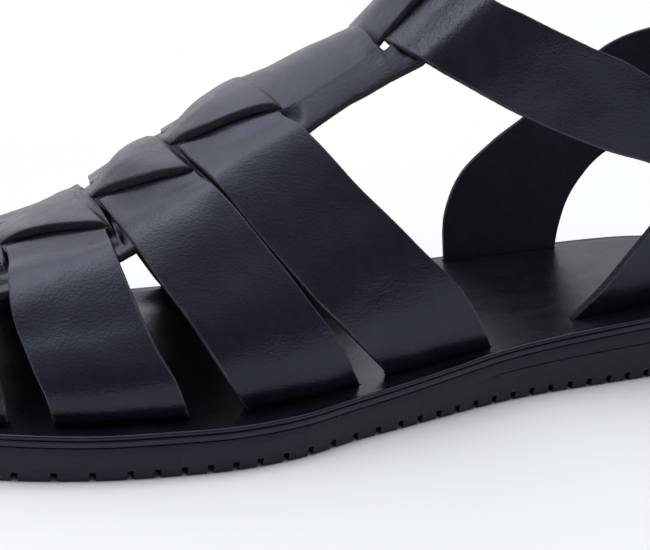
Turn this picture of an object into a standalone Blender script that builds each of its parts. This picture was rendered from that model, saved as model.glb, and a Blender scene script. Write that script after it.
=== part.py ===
"""Gurkha (fisherman) sandal, left foot, men's EU 42.

Blender 4.5. Metres, +Z up, toe towards -Y, heel towards +Y, the outer (lateral)
side of the foot towards +X. The origin is on the floor under the middle of the
sole. Tables are in millimetres and are scaled once, where a mesh is made.
"""

import math

import bmesh
import bpy
from mathutils import Vector

MM = 0.001

# ---------------------------------------------------------------- sole sizes
INSOLE_THICK = 2.8
SEAM = 0.3  # clearance between insole and outsole, and round each slot
TREAD_HIGH = 2.3  # height of the notches along the sole's lower edge
TREAD_DEEP = 4.0  # how far a notch reaches in under the sole
TREAD_WIDE = 1.5
STRAP = 2.2  # leather of every strap
BITE = 0.15  # how far a strap runs into the one over or under it
DEEP_BITE = 0.55  # the same where nothing of it shows

# One row for each section of the sole, toe to heel: the sole's outer (lateral)
# and inner (medial) edge, the top of the insole, the underside of the outsole.
SOLE_COLUMNS = ("y", "lateral", "medial", "top", "bottom")
SOLE = [
    (-145.0, -9.0, -19.0, 20.0, 8.6),
    (-144.0, -2.0, -26.5, 19.6, 8.2),
    (-141.0, 5.0, -33.0, 18.6, 7.0),
    (-135.5, 12.0, -39.5, 17.0, 5.2),
    (-127.0, 19.5, -45.5, 14.9, 3.0),
    (-116.0, 27.0, -50.0, 12.9, 0.9),
    (-104.0, 34.0, -53.0, 11.8, 0.0),
    (-90.0, 41.8, -54.6, 11.5, 0.0),
    (-75.0, 48.0, -54.8, 11.2, 0.0),
    (-60.0, 52.0, -54.8, 11.2, 0.0),
    (-43.0, 54.8, -54.3, 11.0, 0.0),
    (-27.0, 54.1, -52.5, 11.0, 0.0),
    (-12.0, 50.2, -49.6, 11.1, 0.0),
    (2.0, 47.6, -46.0, 11.8, 0.0),
    (17.0, 44.7, -42.0, 12.8, 0.0),
    (33.0, 42.1, -38.0, 14.2, 0.0),
    (48.0, 41.2, -34.5, 15.2, 0.0),
    (64.0, 41.5, -31.5, 16.2, 0.0),
    (80.0, 41.8, -29.0, 17.0, 0.0),
    (96.0, 41.7, -26.8, 17.6, 0.0),
    (110.0, 40.0, -23.8, 18.0, 0.0),
    (122.0, 35.6, -18.5, 18.2, 0.0),
    (132.0, 29.0, -11.5, 18.2, 0.0),
    (139.0, 21.5, -4.0, 18.2, 0.0),
    (143.2, 14.5, 2.0, 18.2, 0.0),
    (145.0, 9.5, 5.5, 18.2, 0.0),
]

# Notches of the tread: from this y on, they are this far apart.
TREAD_COLUMNS = ("start", "pitch", "count")
TREAD = [(-118.0, 8.3, 7), (-62.0, 6.0, 4), (-38.0, 6.65, 6), (2.0, 5.8, 22)]

# ---------------------------------------------------------------- last sizes
# The foot form under the front straps: where its sides meet the insole, its
# ridge, how square each side is (2 = ellipse) and how far the side swells out.
LAST_COLUMNS = ("y", "lateral", "medial", "ridge_x", "ridge_z", "n_lat", "n_med", "belly")
LAST = [
    (-126.0, 13.0, -38.0, -14.0, 29.5, 2.20, 2.15, 2.0),
    (-104.0, 25.5, -44.0, -11.0, 35.0, 2.20, 2.15, 2.5),
    (-84.0, 35.0, -46.0, -8.0, 42.0, 2.15, 2.10, 3.0),
    (-62.0, 42.0, -46.0, -6.0, 49.2, 2.10, 2.05, 3.5),
    (-40.0, 44.0, -45.3, -4.0, 63.0, 2.05, 2.00, 4.0),
    (-20.0, 42.3, -43.0, -3.0, 74.3, 2.00, 2.00, 4.0),
    (-10.0, 40.2, -41.0, -2.5, 79.6, 2.00, 2.00, 4.0),
    (0.0, 38.0, -39.0, -2.0, 84.2, 2.00, 2.00, 4.0),
    (10.0, 37.0, -37.0, -1.5, 88.6, 2.00, 2.00, 4.0),
    (20.0, 36.0, -35.0, -1.0, 95.5, 2.00, 2.00, 4.0),
    (30.0, 35.5, -33.0, -0.5, 103.8, 2.00, 2.00, 4.0),
    (40.0, 35.0, -31.0, 0.0, 112.5, 2.00, 2.00, 4.0),
    (60.0, 34.0, -28.0, 2.0, 130.0, 2.00, 2.00, 4.0),
]

# Each front strap's front and rear edge: its y at the insole, at four angles up
# the side of the last, and on the ridge. "swing" moves its inner (medial) end.
STRAP_COLUMNS = ("name", "base", "deg12", "deg25", "deg45", "deg70", "ridge", "swing")
STRAP_ANGLES = (0.0, 12.0, 25.0, 45.0, 70.0, 90.0)
STRAPS = [
    ("toe_front", -119.0, -119.0, -118.0, -115.0, -110.0, -107.0, 2.0),
    ("toe_rear", -91.5, -92.5, -93.0, -92.0, -88.0, -86.5, 4.0),
    ("first_front", -84.5, -86.0, -87.0, -87.5, -84.0, -82.5, 5.0),
    ("first_rear", -52.0, -54.5, -58.5, -60.7, -60.8, -61.5, 8.0),
    ("second_front", -38.3, -45.0, -50.5, -55.3, -57.3, -57.0, 8.0),
    ("second_rear", -7.0, -14.3, -23.5, -32.4, -38.0, -40.2, 8.0),
    ("third_front", 0.5, -13.2, -22.7, -31.7, -37.2, -37.4, 6.0),
    ("third_rear", 32.0, 22.5, 10.0, -5.0, -14.5, -16.5, 6.0),
]

# The long centre strap: angle of its near edge and of its slit line up the
# last, and how far it is lifted over the straps that pass under it.
CENTRE_COLUMNS = ("y", "edge", "slit", "lift")
CENTRE = [
    (-112.5, 66.0, 80.0, -1.2),
    (-110.5, 63.0, 80.0, 0.9),
    (-107.0, 60.0, 80.0, 2.2),
    (-97.0, 57.0, 77.0, 2.9),
    (-88.0, 55.5, 72.0, 2.2),
    (-85.3, 55.0, 70.5, 0.7),
    (-83.0, 55.0, 78.5, 1.9),
    (-78.0, 55.0, 78.0, 2.7),
    (-72.0, 54.5, 76.5, 3.0),
    (-66.0, 54.5, 73.0, 2.7),
    (-61.5, 54.5, 69.0, 1.9),
    (-59.5, 54.5, 69.0, 0.7),
    (-57.3, 54.5, 82.5, 1.9),
    (-53.0, 54.8, 81.0, 2.8),
    (-48.5, 55.0, 77.0, 3.1),
    (-44.0, 55.5, 72.0, 2.7),
    (-41.0, 56.0, 67.5, 1.9),
    (-39.2, 56.3, 67.5, 0.8),
    (-37.0, 56.5, 81.0, 2.0),
    (-33.0, 57.0, 79.5, 3.1),
    (-27.0, 57.5, 76.0, 3.9),
    (-21.0, 58.0, 73.0, 3.3),
    (-16.5, 58.5, 70.0, 1.9),
    (-13.5, 59.0, 69.0, 0.6),
    (-9.0, 61.5, 70.0, 0.0),
    (2.0, 62.3, 71.0, 0.0),
    (11.5, 61.8, 72.0, 0.2),
    (14.5, 61.3, 73.0, 1.9),
    (18.0, 60.6, 75.3, 2.7),
    (24.0, 61.0, 76.0, 2.9),
    (30.0, 63.0, 76.5, 2.8),
    (36.0, 65.5, 77.5, 2.3),
    (40.5, 69.0, 79.5, 1.0),
    (43.5, 74.0, 82.0, 0.4),
]

# Heel strap: front (upper) and rear (lower) edge of its inner face, from the
# outer slot round the heel to the inner slot.
BAND_COLUMNS = ("upper_x", "upper_y", "upper_z", "lower_x", "lower_y", "lower_z")
HEEL = [
    (30.1, 60.0, 13.4, 30.5, 98.0, 14.9),
    (30.1, 60.0, 16.1, 30.5, 98.0, 17.6),
    (32.5, 68.5, 25.0, 33.0, 103.0, 24.0),
    (34.5, 76.0, 34.5, 34.5, 108.0, 30.5),
    (35.5, 84.0, 44.0, 34.5, 113.0, 36.5),
    (35.5, 93.0, 54.0, 32.5, 119.0, 42.5),
    (33.5, 103.0, 63.0, 28.5, 126.0, 48.0),
    (28.5, 115.0, 72.0, 22.5, 133.0, 52.5),
    (19.5, 126.5, 79.5, 15.0, 138.5, 56.0),
    (6.5, 132.5, 84.0, 6.0, 140.5, 57.5),
    (-7.0, 127.0, 84.6, -3.5, 137.0, 57.3),
    (-18.0, 116.3, 82.8, -11.5, 130.0, 55.8),
    (-25.0, 103.8, 77.4, -17.8, 121.0, 52.8),
    (-28.0, 90.0, 66.6, -22.5, 110.5, 49.2),
    (-29.3, 77.5, 57.0, -25.0, 101.5, 43.8),
    (-30.5, 67.0, 50.0, -26.0, 95.5, 37.5),
    (-31.0, 57.5, 41.0, -25.8, 91.0, 31.0),
    (-30.0, 52.5, 29.0, -24.6, 88.0, 24.0),
    (-28.0, 52.0, 15.8, -23.0, 86.5, 17.2),
    (-28.0, 52.0, 13.0, -23.0, 86.5, 14.5),
]

# Ankle strap below the instep, inner face: outer side down to the buckle, and
# inner side down to where it is sewn to the heel strap.
ANKLE_OUTER = [
    (20.1, 40.0, 99.8, 19.8, 20.5, 85.1),
    (22.8, 46.3, 96.7, 21.9, 25.4, 81.8),
    (25.1, 52.3, 93.6, 23.7, 30.7, 78.7),
    (27.3, 58.4, 90.8, 25.8, 36.8, 75.2),
    (29.2, 64.7, 87.7, 27.7, 43.0, 72.0),
    (30.8, 71.2, 84.2, 30.2, 53.3, 67.0),
    (32.2, 78.0, 80.2, 32.4, 65.5, 61.9),
    (34.0, 85.5, 76.0, 33.9, 77.5, 58.0),
    (36.9, 92.0, 72.3, 37.0, 87.3, 54.6),
    (41.8, 97.0, 69.0, 42.2, 93.0, 51.6),
    (44.2, 101.5, 67.0, 44.6, 98.0, 49.6),
    (43.8, 105.5, 65.5, 44.6, 102.0, 48.2),
    (40.2, 111.5, 63.6, 42.0, 108.0, 46.4),
    (35.8, 118.0, 61.8, 38.3, 115.0, 44.8),
    (32.6, 124.0, 59.8, 35.4, 121.5, 44.6),
    (30.8, 128.5, 55.5, 32.6, 127.0, 47.8),
]
ANKLE_INNER = [
    (-20.3, 40.5, 101.0, -20.3, 23.0, 87.0),
    (-23.0, 47.0, 98.5, -22.7, 29.5, 84.5),
    (-25.4, 54.0, 95.3, -25.2, 36.5, 81.0),
    (-27.3, 61.0, 91.8, -27.3, 44.0, 77.0),
    (-28.8, 68.0, 88.3, -29.2, 52.0, 72.7),
    (-29.7, 75.5, 84.6, -30.6, 61.0, 67.7),
    (-29.8, 84.0, 80.8, -31.2, 72.0, 62.0),
    (-28.6, 94.0, 76.6, -30.4, 84.0, 56.8),
    (-25.0, 105.5, 73.0, -28.2, 97.5, 52.5),
    (-19.8, 117.0, 71.0, -25.0, 110.5, 50.5),
]
# Ankle strap over the instep: edges' y at these angles up the last.
ANKLE_TOP_COLUMNS = ("deg", "front", "rear", "lift")
ANKLE_TOP = [
    (63.0, 18.3, 38.8, 2.05),
    (68.0, 16.8, 37.4, 2.0),
    (74.0, 16.3, 36.2, 1.1),
    (81.0, 16.0, 35.4, 0.9),
    (90.0, 16.0, 35.0, 0.9),
]

# ---------------------------------------------------------------- buckle sizes
FRAME_LONG = 14.5  # between bar centres, along the strap
FRAME_WIDE = 23.5  # between bar centres, across the strap
FRAME_ROD = 1.3  # half of the rod's thickness
FRAME_CORNER = 3.0
PRONG_ROD = 0.9
TAB_THICK = 1.3
TAB_WIDE = 16.0
HINGE = (40.4, 100.3, 58.0)  # middle of the hinge bar
FRONT_BAR = (41.5, 86.8, 63.3)
ACROSS = (-0.2, 3.8, 17.4)
PRONG_PATH = [(0.0, 0.0), (0.25, 0.0), (0.45, 0.1), (0.65, 0.55), (0.85, 0.97), (1.0, 1.0)]
# The tab behind the hinge bar, and the keeper: how far along from the bar, and
# how far off it at the upper and at the lower edge.
TAB_COLUMNS = ("along", "upper", "lower")
TAB = [(-4.0, -4.8, -2.75), (-7.0, -5.5, -2.8), (-12.0, -6.15, -2.85), (-15.0, -6.6, -2.85), (-18.0, -7.4, -3.1)]
TAB_FOLD = -8.5  # the folded end lies on the tab as far as here
KEEPER_COLUMNS = ("along", "shift", "upper_foot", "upper_top", "lower_top", "lower_foot")
KEEPER = [(-11.5, -0.7, -6.8, 3.2, 5.4, -2.8), (-18.0, -1.6, -8.5, -0.2, 2.4, -3.1)]
KEEPER_THICK = 1.3
KEEPER_WIDE = 19.8  # inside


# ---------------------------------------------------------------- tables
def spline(rows, k, column):
    """Smooth value of one column at the fractional row k (Catmull-Rom)."""
    last_row = len(rows) - 1
    i = min(max(int(math.floor(k)), 0), last_row - 1)
    t = k - i
    b, c = rows[i][column], rows[i + 1][column]
    a = rows[i - 1][column] if i > 0 else 2 * b - c
    d = rows[i + 2][column] if i + 1 < last_row else 2 * c - b
    return 0.5 * (
        2 * b + (c - a) * t + (2 * a - 5 * b + 4 * c - d) * t**2 + (3 * b - a - 3 * c + d) * t**3
    )


def row_at(rows, value):
    """The fractional row at which the first column reaches a value."""
    low, high = 0.0, len(rows) - 1.0
    for _ in range(40):
        middle = (low + high) / 2
        if spline(rows, middle, 0) < value:
            low = middle
        else:
            high = middle
    return (low + high) / 2


def look_up(rows, columns, value, *names):
    k = row_at(rows, value)
    found = [spline(rows, k, columns.index(name)) for name in names]
    return found[0] if len(found) == 1 else found


def straight(rows, value, column):
    """Straight-line reading of a table, for values that must not overshoot."""
    if value <= rows[0][0]:
        return rows[0][column]
    for lower, upper in zip(rows, rows[1:]):
        if value <= upper[0]:
            share = (value - lower[0]) / (upper[0] - lower[0])
            return lower[column] + share * (upper[column] - lower[column])
    return rows[-1][column]


# ---------------------------------------------------------------- scene
def clear_scene():
    for obj in list(bpy.data.objects):
        bpy.data.objects.remove(obj, do_unlink=True)


def material(name, colour, roughness, metallic=0.0):
    made = bpy.data.materials.new(name)
    made.use_nodes = True
    shader = made.node_tree.nodes["Principled BSDF"]
    shader.inputs["Base Color"].default_value = (*colour, 1.0)
    shader.inputs["Roughness"].default_value = roughness
    shader.inputs["Metallic"].default_value = metallic
    made.diffuse_color = (*colour, 1.0)
    return made


def solid(name, points, faces, look, helper=False):
    """One closed object from points in millimetres."""
    mesh = bpy.data.meshes.new(name)
    mesh.from_pydata([tuple(Vector(p) * MM) for p in points], [], faces)
    work = bmesh.new()
    work.from_mesh(mesh)
    bmesh.ops.remove_doubles(work, verts=work.verts, dist=1e-7)
    bmesh.ops.recalc_face_normals(work, faces=work.faces)
    if work.calc_volume(signed=True) < 0:
        bmesh.ops.reverse_faces(work, faces=work.faces)
    work.to_mesh(mesh)
    work.free()
    obj = bpy.data.objects.new(name, mesh)
    obj.data.materials.append(look)
    bpy.context.scene.collection.objects.link(obj)
    if helper:
        obj.hide_render = True
        obj.display_type = "WIRE"
    return obj


def combine(target, tool, operation):
    boolean = target.modifiers.new(f"{operation.lower()}_{tool.name}", "BOOLEAN")
    boolean.operation = operation
    boolean.solver = "MANIFOLD"
    boolean.object = tool


def close_pockets(obj):
    """Applies the joins and keeps the outer skin, so that no sealed pocket is
    left where two straps lie on each other."""
    graph = bpy.context.evaluated_depsgraph_get()
    mesh = bpy.data.meshes.new_from_object(obj.evaluated_get(graph))
    obj.modifiers.clear()
    work = bmesh.new()
    work.from_mesh(mesh)
    left, skins = set(work.faces), []
    while left:
        skin, edge = set(), [left.pop()]
        while edge:
            face = edge.pop()
            skin.add(face)
            near = {other for side in face.edges for other in side.link_faces} & left
            left -= near
            edge += near
        skins.append(skin)
    skins.sort(key=len)
    inner = [face for skin in skins[:-1] for face in skin]
    bmesh.ops.delete(work, geom=inner, context="FACES")
    work.to_mesh(mesh)
    work.free()
    obj.data = mesh


# ---------------------------------------------------------------- last
def last(degrees, y):
    """Point on the foot form: 0 degrees at the outer slot, 90 on the ridge."""
    lateral, medial, ridge_x, ridge_z, n_lat, n_med, belly = look_up(
        LAST, LAST_COLUMNS, y, *LAST_COLUMNS[1:]
    )
    floor = look_up(SOLE, SOLE_COLUMNS, y, "top")
    cosine = math.cos(math.radians(degrees))
    sine = max(math.sin(math.radians(degrees)), 0.0)
    side, edge, n = (1, lateral, n_lat) if cosine >= 0 else (-1, medial, n_med)
    swell = side * belly * 9.48 * sine * (1 - sine) ** 3
    return Vector(
        (
            ridge_x + (edge - ridge_x) * abs(cosine) ** (2 / n) + swell,
            y,
            floor + (ridge_z - floor) * sine ** (2 / n),
        )
    )


def last_normal(degrees, y):
    d = min(max(degrees, 2.0), 178.0)
    around = last(d + 1.5, y) - last(d - 1.5, y)
    along = last(d, y + 1.5) - last(d, y - 1.5)
    return along.cross(around).normalized()


def over_last(degrees, y, lift):
    return last(degrees, y) + last_normal(degrees, y) * lift


# ---------------------------------------------------------------- bands
def band(name, inner, outer, look, helper=False):
    """A strap from two grids of points, rows along it and columns across."""
    rows, columns = len(inner), len(inner[0])
    points = [p for row in inner for p in row] + [p for row in outer for p in row]
    half = rows * columns
    at = lambda i, j: i * columns + j
    faces = []
    for i in range(rows - 1):
        for j in range(columns - 1):
            quad = (at(i, j), at(i, j + 1), at(i + 1, j + 1), at(i + 1, j))
            faces.append(quad)
            faces.append(tuple(half + v for v in reversed(quad)))
        for j, turn in ((0, 1), (columns - 1, -1)):
            side = (at(i, j), at(i + 1, j), half + at(i + 1, j), half + at(i, j))
            faces.append(side[::turn])
    for i in (0, rows - 1):
        for j in range(columns - 1):
            faces.append((at(i, j), at(i, j + 1), half + at(i, j + 1), half + at(i, j)))
    return solid(name, points, faces, look, helper)


def thickened(grid, thickness, upright=0):
    """The outer face of a strap, from the normals of its inner face. That many
    rows at each end stand square in their slots."""
    rows, columns = len(grid), len(grid[0])
    outer = []
    for i, row in enumerate(grid):
        made = []
        for j, point in enumerate(row):
            along = grid[min(i + 1, rows - 1)][j] - grid[max(i - 1, 0)][j]
            across = row[min(j + 1, columns - 1)] - row[max(j - 1, 0)]
            normal = along.cross(across)
            if min(i, rows - 1 - i) < upright:
                normal.z = 0.0
            made.append(point + normal.normalized() * thickness)
        outer.append(made)
    return outer


def strap_edge(row, degrees):
    """y of a front strap's edge at an angle up the last, on either side."""
    up = degrees if degrees <= 90 else 180 - degrees
    table = list(zip(STRAP_ANGLES, row[1:7]))
    y = spline(table, row_at(table, up), 1) if up > 0 else row[1]
    if degrees > 90:
        y += row[7] * (1 - math.sin(math.radians(up))) ** 0.8
    return y


def centre_lift(y):
    return straight(CENTRE, y, 3)


def strap_lift(degrees, y, slit, edge):
    """How far a front strap's inner face is off the last at this point: under
    the centre strap's bridge, over its margin, and back down to the last."""
    up = degrees if degrees <= 90 else 180 - degrees
    under = max(-0.25, min(centre_lift(y), 3.9) - STRAP + DEEP_BITE)
    over = STRAP - BITE
    if up >= slit + 1.0:
        return under
    if up >= slit - 3.5:
        share = (slit + 1.0 - up) / 4.5
        return under + (over - under) * (3 * share**2 - 2 * share**3)
    if up >= edge - 3.0:
        return over
    fall = (edge - 3.0 - up) / 18.0
    return over * (1 - min(fall, 1.0)) ** 2


def front_strap(name, front, rear, look):
    """One strap from its outer slot, over the last, to its inner slot."""
    columns = 5
    grid = []
    middle = (front[6] + rear[6]) / 2
    edge = straight(CENTRE, middle, 1)
    low = [6, 13, 21, 30, 39, edge - 9, edge - 3, edge + 4]
    for side in (1, -1):
        rows = []
        for step in ("slot", 0, *low, "dive", "slit", "bridge", 85, 90):
            if side < 0 and step == 90:
                continue
            row = []
            for j in range(columns):
                share = j / (columns - 1)
                y_top = front[6] + share * (rear[6] - front[6])
                slit = straight(CENTRE, y_top, 2)
                slit = min(slit, 81.0)
                up = {"slot": 0, "dive": slit - 4, "slit": slit - 1.2, "bridge": slit + 1.5}.get(step, step)
                up = min(up, 86.5) if step != 90 else 90
                if step == 85:
                    up = max(85, slit + 4.0) if slit < 80 else 88
                degrees = up if side > 0 else 180 - up
                y = strap_edge(front, degrees) * (1 - share) + strap_edge(rear, degrees) * share
                point = over_last(degrees, y, strap_lift(degrees, y, slit, edge))
                if step in ("slot", 0):
                    point = last(0 if side > 0 else 180, y)
                if step == "slot":
                    point.z -= INSOLE_THICK - 0.1
                row.append(point)
            rows.append(row)
        grid += rows if side > 0 else rows[::-1]
    outer = thickened(grid, -STRAP, upright=2)
    return band(name, grid, outer, look, helper=True), grid, outer


def centre_strap(look, name):
    """The long strap: one sheet, lifted over each bridge and low at its margins."""
    inner, outer = [], []
    for y, edge, slit, lift in CENTRE:
        inner_row, outer_row = [], []
        step = 1.1  # degrees over which the cut edge of a bridge drops
        for side in (1, -1):
            near = [
                (edge, 0.0),
                ((edge + slit) / 2 - 1, 0.0),
                (slit, 0.0),
                (slit + step, lift),
                ((slit + 90) / 2 + 1, lift),
            ]
            near_in = [
                (edge, 0.0),
                ((edge + slit) / 2 - 1, 0.0),
                (min(slit + 2.4, 86.0), 0.0),
                (min(slit + 3.6, 87.2), lift),
                (max((slit + 90) / 2 + 1, min(slit + 4.4, 88.0)), lift),
            ]
            for target, table, add in ((outer_row, near, STRAP), (inner_row, near_in, 0.0)):
                made = []
                for up, rise in table:
                    degrees = up if side > 0 else 180 - up
                    low = min(lift, 0.0) if lift < 0 else 0.0
                    made.append(over_last(degrees, y, max(rise, low) + add))
                if side > 0:
                    made.append(over_last(90, y, lift + add))
                    target += made
                else:
                    target += made[::-1]
        inner.append(inner_row)
        outer.append(outer_row)
    return band(name, inner, outer, look)


def ribbon(rows, columns=5):
    """Grid of points across the two edges of a table's rows, smoothed along it."""
    fine = []
    steps = (len(rows) - 1) * 2
    for i in range(steps + 1):
        values = [spline(rows, i / 2, c) for c in range(6)]
        if i in (1, steps - 1):
            values = [(a + b) / 2 for a, b in zip(rows[i // 2], rows[i // 2 + 1])]
        upper, lower = Vector(values[:3]), Vector(values[3:])
        fine.append([lower.lerp(upper, j / (columns - 1)) for j in range(columns)])
    return fine


def ankle_rows():
    """Rows of the ankle strap, buckle end first, over the instep, to its sewn end."""
    top = []
    for side in (1, -1):
        part = []
        for degrees, front, rear, lift in ANKLE_TOP:
            up = degrees if side > 0 else 180 - degrees
            if side < 0 and degrees == 90:
                continue
            lower, upper = over_last(up, front, lift), over_last(up, rear, lift)
            part.append((*upper, *lower))
        top += part if side > 0 else part[::-1]
    return [*ANKLE_OUTER[::-1], *top, *ANKLE_INNER]


# ---------------------------------------------------------------- sole
def sole_section(k):
    return [spline(SOLE, k, column) for column in range(5)]


def tread_bands():
    """Start and end y of each notch."""
    bands = []
    for start, pitch, count in TREAD:
        for i in range(count):
            y = start + i * pitch
            bands.append((y - TREAD_WIDE / 2, y + TREAD_WIDE / 2))
    return bands


def outsole(look):
    """Lofted rubber sole. Its lower edge is notched, and each notch reaches in
    under the sole by TREAD_DEEP."""
    stops = [(spline(SOLE, i / 2, 0), None) for i in range(0, 11)]
    stops += [(spline(SOLE, 21 + i / 2, 0), None) for i in range(0, 9)]
    notches = tread_bands()
    for i, (start, end) in enumerate(notches):
        stops += [(start, i), (end, i)]
    clear = []
    for y, notch in sorted(stops, key=lambda s: s[0]):
        if notch is None and any(a - 0.8 <= y <= b + 0.8 for a, b in notches):
            continue
        clear.append((y, notch))
    points, faces = [], []
    sections = []
    for y, notch in clear:
        _, lateral, medial, top, bottom = sole_section(row_at(SOLE, y))
        top -= INSOLE_THICK + SEAM
        deep = min(TREAD_DEEP, (lateral - medial) * 0.3)
        ids = {}
        for side, edge in ((1, lateral), (-1, medial)):
            for key, x, z in (
                ("foot", edge - side * 0.7, bottom),
                ("inset", edge - side * deep, bottom),
                ("roof", edge - side * deep, bottom + TREAD_HIGH),
                ("tread", edge, bottom + TREAD_HIGH),
                ("wall", edge + side * 0.15, bottom + 0.62 * (top - bottom)),
                ("rim", edge - side * 0.35, top),
            ):
                ids[side, key] = len(points)
                points.append((x, y, z))
        sections.append(ids)
    inside = lambda a, b: a is not None and a == b
    for i in range(len(clear) - 1):
        here, there = sections[i], sections[i + 1]
        quad = lambda s, a, t, b: faces.append((here[s, a], here[t, b], there[t, b], there[s, a]))
        in_notch = inside(clear[i][1], clear[i + 1][1])
        quad(1, "rim", -1, "rim")
        quad(-1, "inset", 1, "inset")
        for side in (1, -1):
            quad(side, "wall", side, "rim")
            quad(side, "tread", side, "wall")
            if in_notch:
                quad(side, "roof", side, "tread")
                quad(side, "inset", side, "roof")
            else:
                quad(side, "foot", side, "tread")
                quad(side, "inset", side, "foot")
    for i, (y, notch) in enumerate(clear):
        if notch is None:
            continue
        for side in (1, -1):
            faces.append([sections[i][side, key] for key in ("foot", "inset", "roof", "tread")])
    for ids in (sections[0], sections[-1]):
        faces.append(
            [ids[1, key] for key in ("inset", "foot", "tread", "wall", "rim")]
            + [ids[-1, key] for key in ("rim", "wall", "tread", "foot", "inset")]
        )
    used = sorted({v for face in faces for v in face})
    index = {v: i for i, v in enumerate(used)}
    return solid("outsole", [points[v] for v in used], [[index[v] for v in f] for f in faces], look)


def insole(look):
    """Leather footbed: beaded upper edge, a groove, and a flat band down to the seam."""
    profile = (  # inset from the sole's edge, height above the insole's underside
        (0.35, 0.0),
        (0.20, 1.15),
        (0.75, 1.45),
        (0.25, 1.75),
        (0.30, 2.25),
        (0.95, INSOLE_THICK),
    )
    marks = sorted({i / 2 for i in range(0, 9)} | {float(i) for i in range(4, 21)} | {20.5 + i / 2 for i in range(0, 10)})
    points, faces = [], []
    size = 2 * len(profile)
    for k in marks:
        y, lateral, medial, top, _ = sole_section(min(k, len(SOLE) - 1.0))
        under = top - INSOLE_THICK
        points += [(lateral - inset, y, under + up) for inset, up in profile]
        points += [(medial + inset, y, under + up) for inset, up in reversed(profile)]
    for i in range(len(marks) - 1):
        for j in range(size):
            a, b = i * size + j, i * size + (j + 1) % size
            faces.append((a, b, b + size, a + size))
    faces.append(list(range(size)))
    faces.append([(len(marks) - 1) * size + j for j in range(size)])
    return solid("insole", points, faces, look)


def slot_cutter(name, inner, outer, look):
    """Upright plug a little larger all round than a strap's end."""
    ends = []
    count = len(inner)
    for j in range(count):
        a, b = inner[j], outer[j]
        out = Vector((b.x - a.x, b.y - a.y, 0)).normalized()
        side = Vector((inner[-1].x - inner[0].x, inner[-1].y - inner[0].y, 0)).normalized()
        extra = side * (SEAM if j == count - 1 else -SEAM if j == 0 else 0)
        ends.append((a - out * SEAM + extra, b + out * SEAM + extra))
    points = []
    for z in (5.0, 24.0):
        points += [(p.x, p.y, z) for p, _ in ends] + [(q.x, q.y, z) for _, q in reversed(ends)]
    size = 2 * count
    faces = [list(range(size)), list(range(size, 2 * size))]
    faces += [(j, (j + 1) % size, size + (j + 1) % size, size + j) for j in range(size)]
    return solid(name, points, faces, look, helper=True)


# ---------------------------------------------------------------- buckle
class Seat:
    """Axes at the buckle's hinge bar: a ahead along the strap, b across it, c off it."""

    def __init__(self, hinge, front, across):
        self.origin = Vector(hinge)
        self.a = (Vector(front) - self.origin).normalized()
        self.c = self.a.cross(Vector(across)).normalized()
        if self.c.x < 0:
            self.c = -self.c
        self.b = self.c.cross(self.a)

    def at(self, a, b, c):
        return self.origin + self.a * a + self.b * b + self.c * c


def tube(name, path, half, look, closed=False, sides=8):
    """A rod along a path. Each path entry is a point and the two axes across it."""
    points, faces = [], []
    for centre, side, off in path:
        for i in range(sides):
            turn = 2 * math.pi * (i + 0.5) / sides
            points.append(centre + side * half * math.cos(turn) + off * half * math.sin(turn))
    count = len(path)
    for i in range(count if closed else count - 1):
        for j in range(sides):
            k, m = (i + 1) % count, (j + 1) % sides
            faces.append((i * sides + j, i * sides + m, k * sides + m, k * sides + j))
    if not closed:
        faces.append(list(range(sides)))
        faces.append([(count - 1) * sides + j for j in range(sides)])
    return solid(name, points, faces, look)


def slab(name, seat, upper, lower, half_wide, look, helper=False):
    """An outline in the (along, off) plane at each edge, joined across the strap."""
    size = len(upper)
    points = [seat.at(a, -half_wide, c) for a, c in upper]
    points += [seat.at(a, half_wide, c) for a, c in lower]
    faces = [list(range(size)), list(range(size, 2 * size))]
    faces += [(j, (j + 1) % size, size + (j + 1) % size, size + j) for j in range(size)]
    return solid(name, points, faces, look, helper)


def buckle_frame(seat, look):
    """Rounded rectangle of round rod, its hinge bar at a = 0."""
    path = []
    for end, flank, start in ((1, 1, 0), (0, 1, 90), (0, -1, 180), (1, -1, 270)):
        for step in (0, 30, 60, 90):
            turn = math.radians(start + step)
            out = seat.a * math.cos(turn) + seat.b * math.sin(turn)
            a = FRAME_LONG - FRAME_CORNER if end else FRAME_CORNER
            b = flank * (FRAME_WIDE / 2 - FRAME_CORNER)
            path.append((seat.at(a, b, 0) + out * FRAME_CORNER, out, seat.c))
    return tube("buckle_frame", path, FRAME_ROD, look, closed=True)


def buckle_prong(seat, look):
    """Pin from beside the hinge bar, up through the strap, onto the front bar."""
    start = FRAME_ROD + SEAM + PRONG_ROD
    rest = FRAME_ROD + PRONG_ROD + 0.1
    path = []
    for a, c in PRONG_PATH:
        path.append((seat.at(start + a * (FRAME_LONG + 1.2 - start), 0, c * rest), seat.b, seat.c))
    return tube("buckle_prong", path, PRONG_ROD, look, sides=6)


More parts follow.
